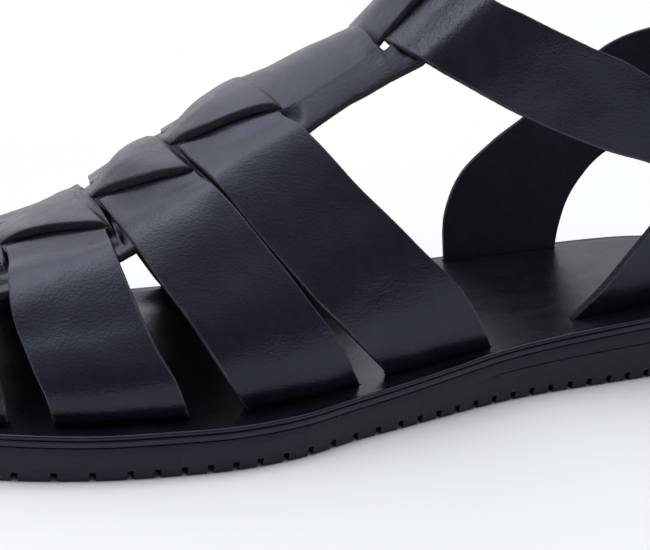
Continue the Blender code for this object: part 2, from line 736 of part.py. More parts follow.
def buckle_tab(seat, look):
    """Leather folded round the hinge bar and sewn down on the heel strap."""
    hollow = FRAME_ROD + SEAM
    edges = []
    for column in (1, 2):
        outline = []
        for step in range(12):
            turn = math.radians(125 - 215 * step / 11)
            reach = hollow + TAB_THICK
            outline.append((reach * math.cos(turn), reach * math.sin(turn)))
        fold = straight(TAB[::-1], TAB_FOLD, column)
        outline += [(row[0], row[column]) for row in TAB]
        outline += [(row[0], row[column] + TAB_THICK) for row in TAB[::-1] if row[0] < TAB_FOLD]
        outline += [(TAB_FOLD - 0.2, fold + TAB_THICK), (TAB_FOLD, fold + 2 * TAB_THICK)]
        outline += [(TAB[0][0], max(TAB[0][column] + 2 * TAB_THICK, -0.6))]
        edges.append(outline)
    tab = slab("buckle_tab", seat, *edges, TAB_WIDE / 2, look)
    turns = [2 * math.pi * step / 12 for step in range(12)]
    hole = [(hollow * math.cos(turn), hollow * math.sin(turn)) for turn in turns]
    combine(tab, slab("bar_hole", seat, hole, hole, TAB_WIDE, look, helper=True), "DIFFERENCE")
    notch = [(0.0, -4.0), (5.0, -4.0), (5.0, 4.0), (0.0, 4.0)]
    cutter = slab("prong_notch", seat, notch, notch, PRONG_ROD + SEAM, look, helper=True)
    combine(tab, cutter, "DIFFERENCE")
    return tab


def keeper(seat, look):
    """Loop that holds the strap's tip down, its feet on the heel strap."""
    points = []
    half = KEEPER_WIDE / 2
    for a, shift, upper_foot, upper_top, lower_top, lower_foot in KEEPER:
        for b, c in (
            (-half - KEEPER_THICK, upper_foot),
            (-half - KEEPER_THICK, upper_top + 0.3),
            (-half, upper_top + KEEPER_THICK),
            (half, lower_top + KEEPER_THICK),
            (half + KEEPER_THICK, lower_top + 0.3),
            (half + KEEPER_THICK, lower_foot),
            (half, lower_foot),
            (half, lower_top),
            (-half, upper_top),
            (-half, upper_foot),
        ):
            points.append(seat.at(a, b + shift, c))
    size = len(points) // 2
    faces = [list(range(size)), list(range(size, 2 * size))]
    faces += [(j, (j + 1) % size, size + (j + 1) % size, size + j) for j in range(size)]
    return solid("keeper", points, faces, look)


# ---------------------------------------------------------------- build
clear_scene()
leather = material("black_leather", (0.012, 0.012, 0.016), 0.42)
footbed = material("footbed_leather", (0.014, 0.014, 0.017), 0.38)
rubber = material("black_rubber", (0.016, 0.016, 0.018), 0.62)
metal = material("gunmetal", (0.30, 0.30, 0.31), 0.32, 1.0)

outsole(rubber)
base = insole(footbed)

upper = centre_strap(leather, "upper")
for i in range(0, len(STRAPS), 2):
    name = STRAPS[i][0].split("_")[0]
    strap, grid, outer = front_strap(f"{name}_strap", STRAPS[i], STRAPS[i + 1], leather)
    combine(upper, strap, "UNION")
    for end, row in (("outer", 1), ("inner", -2)):
        combine(base, slot_cutter(f"slot_{name}_{end}", grid[row], outer[row], leather), "DIFFERENCE")

heel_grid = ribbon(HEEL)
heel_outer = thickened(heel_grid, STRAP, upright=3)
combine(upper, band("heel_strap", heel_grid, heel_outer, leather, helper=True), "UNION")
for end, row in (("outer", 0), ("inner", -1)):
    combine(base, slot_cutter(f"slot_heel_{end}", heel_grid[row], heel_outer[row], leather), "DIFFERENCE")

ankle_grid = ribbon(ankle_rows())
ankle_outer = thickened(ankle_grid, -STRAP)
combine(upper, band("ankle_strap", ankle_grid, ankle_outer, leather, helper=True), "UNION")

seat = Seat(HINGE, FRONT_BAR, ACROSS)
prong_slot = [(2.0, -1.3), (10.5, -1.3), (10.5, 2.6), (2.0, 1.3)]
cutter = slab("prong_slot", seat, prong_slot, prong_slot, PRONG_ROD + SEAM, leather, helper=True)
combine(upper, cutter, "DIFFERENCE")
close_pockets(upper)
buckle_frame(seat, metal)
buckle_prong(seat, metal)
buckle_tab(seat, leather)
keeper(seat, leather)
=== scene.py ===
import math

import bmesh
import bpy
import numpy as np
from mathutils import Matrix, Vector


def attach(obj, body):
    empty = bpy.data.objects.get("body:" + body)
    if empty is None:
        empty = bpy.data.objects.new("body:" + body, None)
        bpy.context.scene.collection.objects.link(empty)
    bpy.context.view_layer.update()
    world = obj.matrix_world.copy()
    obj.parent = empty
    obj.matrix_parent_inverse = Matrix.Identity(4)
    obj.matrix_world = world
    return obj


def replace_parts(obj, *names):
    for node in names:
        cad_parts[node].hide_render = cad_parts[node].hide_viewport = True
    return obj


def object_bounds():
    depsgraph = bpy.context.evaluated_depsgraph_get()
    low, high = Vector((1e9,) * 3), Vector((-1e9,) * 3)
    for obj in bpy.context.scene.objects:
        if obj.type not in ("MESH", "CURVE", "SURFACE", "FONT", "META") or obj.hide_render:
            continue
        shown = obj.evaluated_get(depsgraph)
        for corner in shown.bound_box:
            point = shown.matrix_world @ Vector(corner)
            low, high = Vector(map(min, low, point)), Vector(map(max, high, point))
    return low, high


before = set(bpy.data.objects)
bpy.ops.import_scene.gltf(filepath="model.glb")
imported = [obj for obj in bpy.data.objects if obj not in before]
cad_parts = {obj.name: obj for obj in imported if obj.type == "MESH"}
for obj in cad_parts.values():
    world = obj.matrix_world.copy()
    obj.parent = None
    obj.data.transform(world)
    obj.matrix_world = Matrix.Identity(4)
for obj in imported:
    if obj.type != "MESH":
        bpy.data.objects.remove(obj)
cad_low, cad_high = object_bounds()

# Looks of the gurkha sandal. The tables are in millimetres in the part's own frame: the toe
# points to -Y and the outer side to +X. They follow the CAD source. Where a visible edge needs it,
# those of the straps are moved by a few millimetres and the centre strap's has more rows. Every
# piece is built on them more finely than its solid.

SOLE_LONG = 290.0
UNIT = (cad_high.y - cad_low.y) / SOLE_LONG  # metres for one millimetre of the tables

# ---------------------------------------------------------------- tables
INSOLE_THICK = 2.8
SEAM = 0.3
TREAD_HIGH = 2.3
TREAD_DEEP = 4.0
TREAD_WIDE = 1.5
STRAP = 2.2

# y, lateral edge, medial edge, top of the insole, underside of the outsole
SOLE = [
    (-145, -9, -19, 20, 8.6),
    (-144, -2, -26.5, 19.6, 8.2),
    (-141, 5, -33, 18.6, 7),
    (-135.5, 12, -39.5, 17, 5.2),
    (-127, 19.5, -45.5, 14.9, 3),
    (-116, 27, -50, 12.9, 0.9),
    (-104, 34, -53, 11.8, 0),
    (-90, 41.8, -54.6, 11.5, 0),
    (-75, 48, -54.8, 11.2, 0),
    (-60, 52, -54.8, 11.2, 0),
    (-43, 54.8, -54.3, 11, 0),
    (-27, 54.1, -52.5, 11, 0),
    (-12, 50.2, -49.6, 11.1, 0),
    (2, 47.6, -46, 11.8, 0),
    (17, 44.7, -42, 12.8, 0),
    (33, 42.1, -38, 14.2, 0),
    (48, 41.2, -34.5, 15.2, 0),
    (64, 41.5, -31.5, 16.2, 0),
    (80, 41.8, -29, 17, 0),
    (96, 41.7, -26.8, 17.6, 0),
    (110, 40, -23.8, 18, 0),
    (122, 35.6, -18.5, 18.2, 0),
    (132, 29, -11.5, 18.2, 0),
    (139, 21.5, -4, 18.2, 0),
    (143.2, 14.5, 2, 18.2, 0),
    (145, 9.5, 5.5, 18.2, 0),
]
# first notch, distance to the next, how many
TREAD = [(-118, 8.3, 7), (-62, 6, 4), (-38, 6.65, 6), (2, 5.8, 22)]

# y, lateral foot, medial foot, ridge x, ridge z, squareness of each side, belly
LAST = [
    (-126, 13, -38, -14, 29.5, 2.2, 2.15, 2),
    (-104, 25.5, -44, -11, 35, 2.2, 2.15, 2.5),
    (-84, 35, -46, -8, 42, 2.15, 2.1, 3),
    (-62, 42, -46, -6, 49.2, 2.1, 2.05, 3.5),
    (-40, 44, -45.3, -4, 63, 2.05, 2, 4),
    (-20, 42.3, -43, -3, 74.3, 2, 2, 4),
    (-10, 40.2, -41, -2.5, 79.6, 2, 2, 4),
    (0, 38, -39, -2, 84.2, 2, 2, 4),
    (10, 37, -37, -1.5, 88.6, 2, 2, 4),
    (20, 36, -35, -1, 95.5, 2, 2, 4),
    (30, 35.5, -33, -0.5, 103.8, 2, 2, 4),
    (40, 35, -31, 0, 112.5, 2, 2, 4),
    (60, 34, -28, 2, 130, 2, 2, 4),
]

# front and rear edge: y at the insole, at four angles up the last, on the ridge, swing
STRAP_ANGLES = (0, 12, 25, 45, 70, 90)
FRONT_STRAPS = {
    "toe_strap": (
        (-119, -119, -118, -115, -110, -107, 2),
        (-91.5, -92.5, -93, -92, -88, -86.5, 4),
    ),
    "first_strap": (
        (-81.9, -83.8, -85.9, -86.9, -83.8, -82.5, 5),
        (-52, -55.1, -58.7, -60.7, -60.8, -61.5, 12),
    ),
    "second_strap": (
        (-38, -44.3, -49.1, -54.6, -57.8, -58.2, 9.2),
        (-7.2, -14.4, -22.6, -31.7, -38.8, -40.6, 8),
    ),
    "third_strap": (
        (1.8, -10.6, -21.4, -31.4, -37.4, -38.3, 6),
        (32, 22.2, 9.5, -5.7, -15.6, -16.8, 6),
    ),
}

# row, angle of the near edge, angle of the slit line, height of the far side
CENTRE = [
    (-112.5, 66, 80, -1),
    (-110.5, 63, 80, 0.4),
    (-107, 60, 80, 1.6),
    (-97, 57.5, 77, 2.4),
    (-90, 56.5, 73, 2),
    (-86, 56, 71, 0.7),
    (-84.5, 56, 76, 0.4),
    (-83.16, 56, 83.2, 0.3),
    (-82.2, 56, 82.6, 0.3),
    (-79, 56, 82, 0.4),
    (-76.2, 56, 80.7, 0.6),
    (-73.4, 56, 79.3, 1.5),
    (-70.7, 56, 77.8, 2.2),
    (-67.9, 56, 75.9, 2.5),
    (-65.1, 56.1, 73.9, 2.6),
    (-62.8, 56.2, 72.1, 2.3),
    (-61.2, 56.2, 70.4, 1.9),
    (-60.03, 56.3, 68.9, 1.4),
    (-57.95, 56.3, 88.9, 0.3),
    (-57.2, 56.2, 87.7, 0.4),
    (-56, 56.2, 86.4, 0.5),
    (-54.5, 56, 84.1, 1.3),
    (-52.2, 56, 80.9, 2.1),
    (-50, 56, 77.8, 2.6),
    (-47.7, 56, 75.3, 2.9),
    (-45.4, 56, 73.3, 2.9),
    (-43.1, 56.2, 71.3, 2.6),
    (-41.2, 56.4, 70, 2.1),
    (-38.91, 56.6, 69.1, 1.2),
    (-38.42, 56.6, 86.4, 1),
    (-37.5, 56.8, 85, 0.6),
    (-36.1, 57, 83.8, 0.5),
    (-34.2, 57.2, 81.9, 0.9),
    (-31.4, 57.5, 79.4, 1.6),
    (-28.6, 57.8, 77.7, 2.2),
    (-25.8, 58, 76.5, 2.8),
    (-23, 58.2, 75.3, 3.1),
    (-20.1, 58.6, 74.1, 3.1),
    (-17.8, 59.2, 72.8, 2.8),
    (-16.2, 60, 71.3, 2.4),
    (-14.99, 59.8, 70.3, 2),
    (-9, 60.8, 70, 1),
    (2, 62.3, 71, 0.9),
    (9, 62.5, 72.5, 0.6),
    (12.6, 62.1, 74.4, -0.2),
    (13.8, 61.8, 74, -0.5),
    (15.5, 61.4, 74.3, -0.3),
    (17.9, 60.8, 74.6, 0.1),
    (21.4, 59.8, 75.3, 0.6),
    (25, 61.2, 75.9, 1.1),
    (30, 63, 76.5, 1.7),
    (36, 65.5, 77.5, 1.7),
    (40.5, 69, 79.5, 0.9),
    (43.5, 74, 82, 0.3),
]
# first and last row of a slit, and how far the bridge beside it rises
SLITS = [
    (-110.9, -86, 2.3),
    (-83.16, -60.03, 2.5),
    (-57.95, -38.91, 2.8),
    (-38.42, -14.99, 2.8),
    (12.6, 42, 2.4),
]
JOINT = 0.4  # height of the centre strap between its bridges
SUNK = -1.3  # height of its margin under a strap
SLANT = 0.09  # how far its rows lean towards the toe for each degree up
FAR_SLIT = 80.0

# inner face of a strap at its upper edge, then at its lower edge
HEEL = [
    (30.1, 60, 13.4, 30.5, 98, 14.9),
    (30.1, 60, 16.1, 30.5, 98, 17.6),
    (32.5, 67.6, 25, 33, 103, 24),
    (34.5, 74.8, 34.5, 34.5, 108, 30.5),
    (35.5, 82.8, 44, 34.5, 113, 36.5),
    (35.5, 92, 54, 32.5, 119, 42.5),
    (33.5, 103, 63, 28.5, 126, 48),
    (28.5, 115, 72, 22.5, 133, 52.5),
    (19.5, 126.5, 79.5, 15, 138.5, 56),
    (6.5, 132.5, 84, 6, 140.5, 57.5),
    (-7, 127, 84.6, -3.5, 137, 57.3),
    (-18, 116.3, 82.8, -11.5, 130, 55.8),
    (-25, 103.8, 77.4, -17.8, 121, 52.8),
    (-28, 90.6, 66.2, -22.5, 111.2, 49),
    (-29.3, 78.5, 56.6, -25, 102.3, 43.6),
    (-30.5, 68.2, 49.4, -26, 96.4, 37.3),
    (-31, 58.5, 40.6, -25.8, 91.9, 30.8),
    (-30, 53, 29, -24.6, 88.7, 23.8),
    (-28, 52, 15.8, -23, 86.5, 17.2),
    (-28, 52, 13, -23, 86.5, 14.5),
]
ANKLE_OUTER = [
    (21.7, 38.7, 99.7, 21.4, 19.8, 85.7),
    (25.3, 44.6, 96.8, 24.4, 24.4, 82.7),
    (27.6, 50.7, 93.7, 26.2, 29.7, 79.6),
    (29.1, 57.1, 90.6, 27.6, 36.1, 75.8),
    (30.1, 63.9, 87.4, 28.6, 42.6, 72.3),
    (31.1, 71.1, 84.3, 30.5, 53.2, 67.1),
    (32.2, 78, 80.2, 32.4, 65.5, 61.9),
    (34, 85.5, 76, 33.9, 77.5, 58),
    (36.9, 92, 72.3, 37, 87.3, 54.6),
    (41.8, 97, 69, 42.2, 93, 51.6),
    (44.2, 101.5, 67, 44.6, 98, 49.6),
    (43.8, 105.5, 65.5, 44.6, 102, 48.2),
    (40.2, 111.5, 63.6, 42, 108, 46.4),
    (35.8, 118, 61.8, 38.3, 115, 44.8),
    (32.6, 124, 59.8, 35.4, 121.5, 44.6),
    (30.8, 128.5, 55.5, 32.6, 127, 47.8),
]
ANKLE_INNER = [
    (-20.3, 40.5, 101, -20.3, 23, 87),
    (-23, 47, 98.5, -22.7, 29.5, 84.5),
    (-25.4, 54, 95.3, -25.2, 36.5, 81),
    (-27.3, 61, 91.8, -27.3, 44, 77),
    (-28.8, 68, 88.3, -29.2, 52, 72.7),
    (-29.7, 75.5, 84.6, -30.6, 61, 67.7),
    (-29.8, 84, 80.8, -31.2, 72, 62),
    (-28.6, 94, 76.6, -30.4, 84, 56.8),
    (-25, 105.5, 73, -28.2, 97.5, 52.5),
    (-19.8, 117, 71, -25, 110.5, 50.5),
]
# degrees up the last, front and rear edge, lift
ANKLE_TOP = [
    (63, 18.7, 38.8, 1.9),
    (68, 16.7, 37.4, 1.3),
    (74, 15, 36.2, 0.3),
    (81, 15.4, 35.4, 0.1),
    (90, 15.8, 35, 0),
]

FRAME_LONG, FRAME_WIDE, FRAME_ROD, FRAME_CORNER = 14.5, 23.5, 1.3, 3.0
PRONG_ROD = 0.9
TAB_THICK, TAB_WIDE, TAB_FOLD = 1.3, 16, -8.5
# centre of the hinge bar and of the front bar, and the way across the strap
HINGE, FRONT_BAR, ACROSS = (40.4, 100.3, 58), (41.5, 86.8, 63.3), (-0.2, 3.8, 17.4)
# share of the way to the front bar, and of the height over it
PRONG_PATH = [(0, 0), (0.25, 0), (0.45, 0.1), (0.65, 0.55), (0.85, 0.97), (1, 1)]
TAB = [  # along, upper and lower edge of its inner face
    *[(-4, -4.8, -2.75), (-7, -5.5, -2.8), (-12, -6.15, -2.85)],
    *[(-15, -6.6, -2.85), (-18, -7.4, -3.1)],
]
# along, shift across, height of the upper foot, upper top, lower top and lower foot
KEEPER = [(-11.5, -0.7, -6.8, 3.2, 5.4, -2.8), (-18, -1.6, -8.5, -0.2, 2.4, -3.1)]
KEEPER_THICK, KEEPER_WIDE = 1.3, 19.8


# ---------------------------------------------------------------- curves
BELLY_SCALE = 9.48  # makes s (1 - s)^3 reach 1
NUDGE = 1.5  # degrees and millimetres between which the foot form's normal is read


def dense(rows, step=0.02, straight_ends=False):
    """The rows of a table along a Catmull-Rom curve."""
    rows = np.array(rows, float)
    last_row = len(rows) - 1
    k = np.arange(0, last_row + step / 2, step)
    i = np.minimum(k.astype(int), last_row - 1)
    t = (k - i)[:, None]
    b, c = rows[i], rows[i + 1]
    a = np.where((i > 0)[:, None], rows[np.maximum(i - 1, 0)], 2 * b - c)
    d = np.where((i + 1 < last_row)[:, None], rows[np.minimum(i + 2, last_row)], 2 * c - b)
    square, cube = (2 * a - 5 * b + 4 * c - d) * t**2, (3 * b - a - 3 * c + d) * t**3
    curve = 0.5 * (2 * b + (c - a) * t + square + cube)
    if straight_ends:
        end = (k < 1) | (k > last_row - 1)
        curve[end] = (b + (c - b) * t)[end]
    return curve


def smooth(t):
    t = np.clip(t, 0.0, 1.0)
    return t * t * (3 - 2 * t)


def wander(count, spacing, seed):
    """Smooth random line of that many steps, about -1 to 1."""
    rng = np.random.default_rng(seed)
    knots = rng.uniform(-1, 1, int(count / spacing) + 4)
    at = np.arange(count) / spacing
    i = at.astype(int)
    t = smooth(at - i)
    return knots[i] * (1 - t) + knots[i + 1] * t


SOLE_CURVE, LAST_CURVE = dense(SOLE), dense(LAST)


def columns_at(curve, y):
    return [np.interp(y, curve[:, 0], curve[:, c]) for c in range(1, curve.shape[1])]


def last(degrees, y):
    """Points on the foot form: 0 degrees at the outer slot, 90 on the ridge."""
    lateral, medial, ridge_x, ridge_z, n_lat, n_med, belly = columns_at(LAST_CURVE, y)
    floor = columns_at(SOLE_CURVE, y)[2]
    cosine = np.cos(np.radians(degrees))
    sine = np.maximum(np.sin(np.radians(degrees)), 0.0)
    outer = cosine >= 0
    edge, n = np.where(outer, lateral, medial), np.where(outer, n_lat, n_med)
    swell = np.where(outer, 1, -1) * belly * BELLY_SCALE * sine * (1 - sine) ** 3
    x = ridge_x + (edge - ridge_x) * np.abs(cosine) ** (2 / n) + swell
    return np.stack([x, y + 0 * x, floor + (ridge_z - floor) * sine ** (2 / n)], -1)


def unit(vectors):
    return vectors / np.maximum(np.linalg.norm(vectors, axis=-1, keepdims=True), 1e-12)


def over_last(degrees, y, lift):
    """Points that far off the foot form, along its normal."""
    d = np.clip(degrees, 2.0, 178.0)
    around = last(d + NUDGE, y) - last(d - NUDGE, y)
    along = last(d, y + NUDGE) - last(d, y - NUDGE)
    return last(degrees, y) + unit(np.cross(along, around)) * np.asarray(lift)[..., None]


def grid_normals(grid):
    return unit(np.cross(np.gradient(grid, axis=0), np.gradient(grid, axis=1)))


def run(grid, axis):
    """Distance along the rows or columns of a grid of points."""
    step = np.linalg.norm(np.diff(grid, axis=axis), axis=-1)
    pad = [(0, 0), (0, 0)]
    pad[axis] = (1, 0)
    return np.cumsum(np.pad(step, pad), axis=axis)


# ---------------------------------------------------------------- meshes
def outwards(mesh, weld=False):
    """Turns a closed mesh's faces outwards, and with weld merges points that coincide."""
    work = bmesh.new()
    work.from_mesh(mesh)
    if weld:
        bmesh.ops.remove_doubles(work, verts=work.verts, dist=2e-7)
        bmesh.ops.dissolve_degenerate(work, edges=work.edges, dist=1e-7)
    bmesh.ops.recalc_face_normals(work, faces=work.faces)
    if weld and work.calc_volume(signed=True) < 0:
        bmesh.ops.reverse_faces(work, faces=work.faces)
    work.to_mesh(mesh)
    work.free()


def shade(mesh, sharp=None):
    """Smooth shading, but crisp where faces meet at more than that many degrees."""
    mesh.polygons.foreach_set("use_smooth", [True] * len(mesh.polygons))
    if sharp:
        mesh.set_sharp_from_angle(angle=math.radians(sharp))


def placed(name, mesh):
    obj = bpy.data.objects.new(name, mesh)
    bpy.context.scene.collection.objects.link(obj)
    return obj


def new_mesh(name, points, faces):
    """A mesh from points in millimetres."""
    mesh = bpy.data.meshes.new(name)
    mesh.from_pydata((np.asarray(points) * UNIT).tolist(), [], [list(map(int, f)) for f in faces])
    return mesh


def piece(name, points, faces, look, slot, values=None, sharp=None):
    """A closed, visible mesh that rides on the sandal."""
    mesh = new_mesh(name, points, faces)
    for key, numbers in (values or {}).items():
        numbers = np.asarray(numbers, np.float32)
        kind, field = ("FLOAT_VECTOR", "vector") if numbers.ndim == 2 else ("FLOAT", "value")
        mesh.attributes.new(key, kind, "POINT").data.foreach_set(field, numbers.ravel())
    outwards(mesh, weld=True)
    shade(mesh, sharp)
    obj = placed(name, mesh)
    mesh.materials.append(look)
    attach(obj, "root")
    return obj


def bake(obj):
    """Keeps what an object's modifiers make as its mesh."""
    graph = bpy.context.evaluated_depsgraph_get()
    mesh = bpy.data.meshes.new_from_object(obj.evaluated_get(graph))
    obj.modifiers.clear()
    obj.data = mesh
    return mesh


def cutter(name, points, faces):
    mesh = new_mesh(name, points, faces)
    outwards(mesh)
    return placed(name, mesh)


def carve(obj, cutters):
    """Cuts the cutters out of an object and removes them."""
    for tool in cutters:
        boolean = obj.modifiers.new(tool.name, "BOOLEAN")
        boolean.operation, boolean.solver, boolean.object = "DIFFERENCE", "MANIFOLD", tool
    mesh = bake(obj)
    for tool in cutters:
        bpy.data.objects.remove(tool, do_unlink=True)
    return mesh


def bevelled(obj, width):
    """Rounds an object's crisp edges."""
    modifier = obj.modifiers.new("bevel", "BEVEL")
    modifier.width, modifier.segments = width * UNIT, 3
    modifier.limit_method, modifier.angle_limit = "ANGLE", math.radians(40)
    modifier.use_clamp_overlap = True
    shade(bake(obj), 45)
    return obj


def bands(rows, size, closed=False):
    """Faces between the rings of a tube, row by row."""
    i, j = np.meshgrid(np.arange(rows if closed else rows - 1), np.arange(size), indexing="ij")
    k, m = (i + 1) % rows, (j + 1) % size
    corners = [i * size + j, i * size + m, k * size + m, k * size + j]
    return np.stack(corners, -1).reshape(-1, 4).tolist()


def caps(rows, size):
    """The two end faces of such a tube."""
    return [list(range(size)), list(range((rows - 1) * size, rows * size))]


# ---------------------------------------------------------------- straps in section
EDGE_STEPS = np.array([0.0, 0.06, 0.16, 0.32, 0.55, 0.9, 1.5, 2.4])
WALL = 6  # points down a cut edge
OUTER_ROUND, INNER_ROUND = 0.42, 0.3
HIGHLIGHT_REACH, WORN_REACH = 0.34, 0.14  # how far in from an edge its painted highlight and its bare fibres go
EDGE_SWELL, EDGE_ROUGH = 0.10, 0.05


def edge_shares(width, middle):
    """Columns across a strap of that width: close together near its edges."""
    ends = EDGE_STEPS / width
    between = np.linspace(ends[-1], 1 - ends[-1], middle)[1:-1]
    return np.concatenate([ends, between, 1 - ends[::-1]])


def rounding(distance, radius):
    """How far a rounded edge has dropped at a distance from it."""
    d = np.clip(distance, 0, radius)
    return radius - np.sqrt(np.maximum(radius**2 - (radius - d) ** 2, 0))


def wrapped(grid):
    """Values of the outer face, taken round the cut edges and the inner face too."""
    right, left = np.repeat(grid[:, -1:], WALL, 1), np.repeat(grid[:, :1], WALL, 1)
    return np.concatenate([grid, right, grid[:, ::-1], left], 1)


def shell(inner, up, thick, seed, scallop=0.0, opening=None):
    """Rings of a strap's cross-section, from its inner face and outward normals.

    opening gives how far each row's first and last column is a cut edge (1) or
    joined to its neighbour (0). Returns rings of points and their attributes."""
    rows = len(inner)
    across, along = run(inner, 1), run(inner, 0)
    left, right = across, across[:, -1:] - across
    opening = np.ones((rows, 2)) if opening is None else opening

    def both(shape):
        return shape(left) * opening[:, :1] + shape(right) * opening[:, 1:]

    drop = both(lambda d: rounding(d, OUTER_ROUND))
    rise = both(lambda d: rounding(d, INNER_ROUND))
    # rim: where the painted highlight along the edges lies
    rim = both(lambda d: np.exp(-((d / HIGHLIGHT_REACH) ** 2)))
    worn = both(lambda d: smooth(1 - d / WORN_REACH))
    outer = inner + up * (thick - drop)[..., None]
    lower = inner + up * rise[..., None]

    def wall(column, inward, open_, number):
        out = unit(inner[:, column] - inner[:, inward])
        top, bottom = outer[:, column], lower[:, column]
        made = []
        for w in range(WALL):
            t = (w + 1) / (WALL + 1)
            rough = wander(rows, 1.6, seed * 31 + number * 7 + w) * EDGE_ROUGH
            notch = scallop * wander(rows, 2.2, seed * 31 + number) * math.sin(math.pi * t)
            swell = (EDGE_SWELL * math.sin(math.pi * t) + rough + notch) * open_
            made.append(top + (bottom - top) * t + out * swell[:, None])
        return np.stack(made, 1)

    right_wall = wall(-1, -2, opening[:, 1], 1)
    left_wall = wall(0, 1, opening[:, 0], 2)[:, ::-1]
    rings = np.concatenate([outer, right_wall, lower[:, ::-1], left_wall], 1)
    one, none = np.ones((rows, WALL)), np.zeros((rows, WALL))
    values = {
        "cut": np.concatenate([worn, one, worn[:, ::-1] * 0.6, one], 1),
        "rim": np.concatenate([rim, one, rim[:, ::-1], one], 1),
        "flesh": np.concatenate([0 * worn, none, 0 * worn + 1, none], 1),
        "flat": wrapped(np.stack([along, across, np.full_like(along, seed * 37.0)], -1)),
    }
    return rings, values


def end_faces(base, columns, size):
    """A strap's end, where its ring of points starts at base."""

    def under(c):
        return base + 2 * columns + WALL - 1 - c

    right = range(base + columns, base + columns + WALL)
    left = range(base + 2 * columns + WALL, base + size)
    across = [[base + c, base + c + 1, under(c + 1), under(c)] for c in range(columns - 1)]
    walls = [[base + columns - 1, *right, under(columns - 1)], [base, *reversed(left), under(0)]]
    return across + walls


def listed(values):
    return {k: v.reshape(-1, 3) if v.ndim == 3 else v.ravel() for k, v in values.items()}


def strap_piece(name, inner, up, thick, seed, scallop=0.0, crease=None):
    """A strap with a cut edge down both sides."""
    rings, values = shell(inner, up, thick, seed, scallop)
    values["crease"] = wrapped(np.zeros(inner.shape[:2]) if crease is None else crease)
    rows, size = rings.shape[:2]
    faces = bands(rows, size)
    for row in (0, rows - 1):
        faces += end_faces(row * size, inner.shape[1], size)
    return piece(name, rings.reshape(-1, 3), faces, leather, "strap_leather", listed(values))


# ---------------------------------------------------------------- materials
class Nodes:
    """Adds nodes to a tree."""

    def __init__(self, tree):
        self.tree = tree

    def put(self, socket, value):
        if hasattr(value, "is_linked"):
            self.tree.links.new(value, socket)
        elif isinstance(value, tuple) and len(value) == 3 and socket.type == "RGBA":
            socket.default_value = (*value, 1)
        else:
            socket.default_value = value

    def node(self, kind, inputs, out=0, **settings):
        """A new node's output. Its inputs are given by number or name."""
        made = self.tree.nodes.new(kind)
        for key, value in settings.items():
            setattr(made, key, value)
        for key, value in inputs.items():
            self.put(made.inputs[key], value)
        return made.outputs[out]

    def math(self, operation, a, b=0.0):
        return self.node("ShaderNodeMath", {0: a, 1: b}, operation=operation)


class Look(Nodes):
    """A procedural material."""

    def __init__(self, name, colour, roughness, **sockets):
        self.made = bpy.data.materials.new(name)
        self.made.use_nodes = True
        self.made.diffuse_color = (*colour, 1)
        super().__init__(self.made.node_tree)
        self.shader = self.tree.nodes["Principled BSDF"]
        self.finish(Base_Color=colour, Roughness=roughness, **sockets)
        self.at = self.node("ShaderNodeTexCoord", {}, "Object")

    def mix(self, share, a, b):
        return self.node("ShaderNodeMix", {0: share, 6: a, 7: b}, 2, data_type="RGBA")

    def blend(self, share, a, b):
        return self.node("ShaderNodeMix", {0: share, 2: a, 3: b}, data_type="FLOAT")

    def attribute(self, name, out="Fac"):
        return self.node("ShaderNodeAttribute", {}, out, attribute_name=name)

    def scaled(self, source, scale):
        return self.node("ShaderNodeMapping", {"Vector": source, "Scale": scale})

    def noise(self, source, scale, detail=2.0, rough=0.5, distortion=0.0):
        inputs = {"Vector": source, "Scale": scale, "Detail": detail, "Roughness": rough}
        return self.node("ShaderNodeTexNoise", {**inputs, "Distortion": distortion}, "Fac")

    def cells(self, source, scale):
        return self.node("ShaderNodeTexVoronoi", {"Vector": source, "Scale": scale}, "Distance")

    def grain(self, source, scale, smoothness):
        inputs = {"Vector": source, "Scale": scale, "Smoothness": smoothness}
        return self.node("ShaderNodeTexVoronoi", inputs, "Distance", feature="SMOOTH_F1")

    def ramp(self, share, low, high):
        inputs = {"Value": share, "From Min": low, "From Max": high}
        return self.node("ShaderNodeMapRange", inputs, interpolation_type="SMOOTHSTEP")

    def bump(self, height, distance, strength=1.0, under=None):
        inputs = {"Height": height, "Distance": distance, "Strength": strength}
        return self.node("ShaderNodeBump", {**inputs, "Normal": under} if under else inputs)

    def some(self, share, part):
        return self.math("MULTIPLY", share, part)

    def between(self, share, low, extra):
        """Runs from low to low + extra with share."""
        return self.math("ADD", low, self.some(share, extra))

    def finish(self, **sockets):
        """Sets the shader's sockets, whose spaces are written as underscores."""
        for key, value in sockets.items():
            self.put(self.shader.inputs[key.replace("_", " ")], value)
        return self.made


def gloss(level, red, green):
    """A reflection that is bluer than the light it reflects."""
    return {"Specular_IOR_Level": level, "Specular_Tint": (red, green, 1.0, 1.0)}


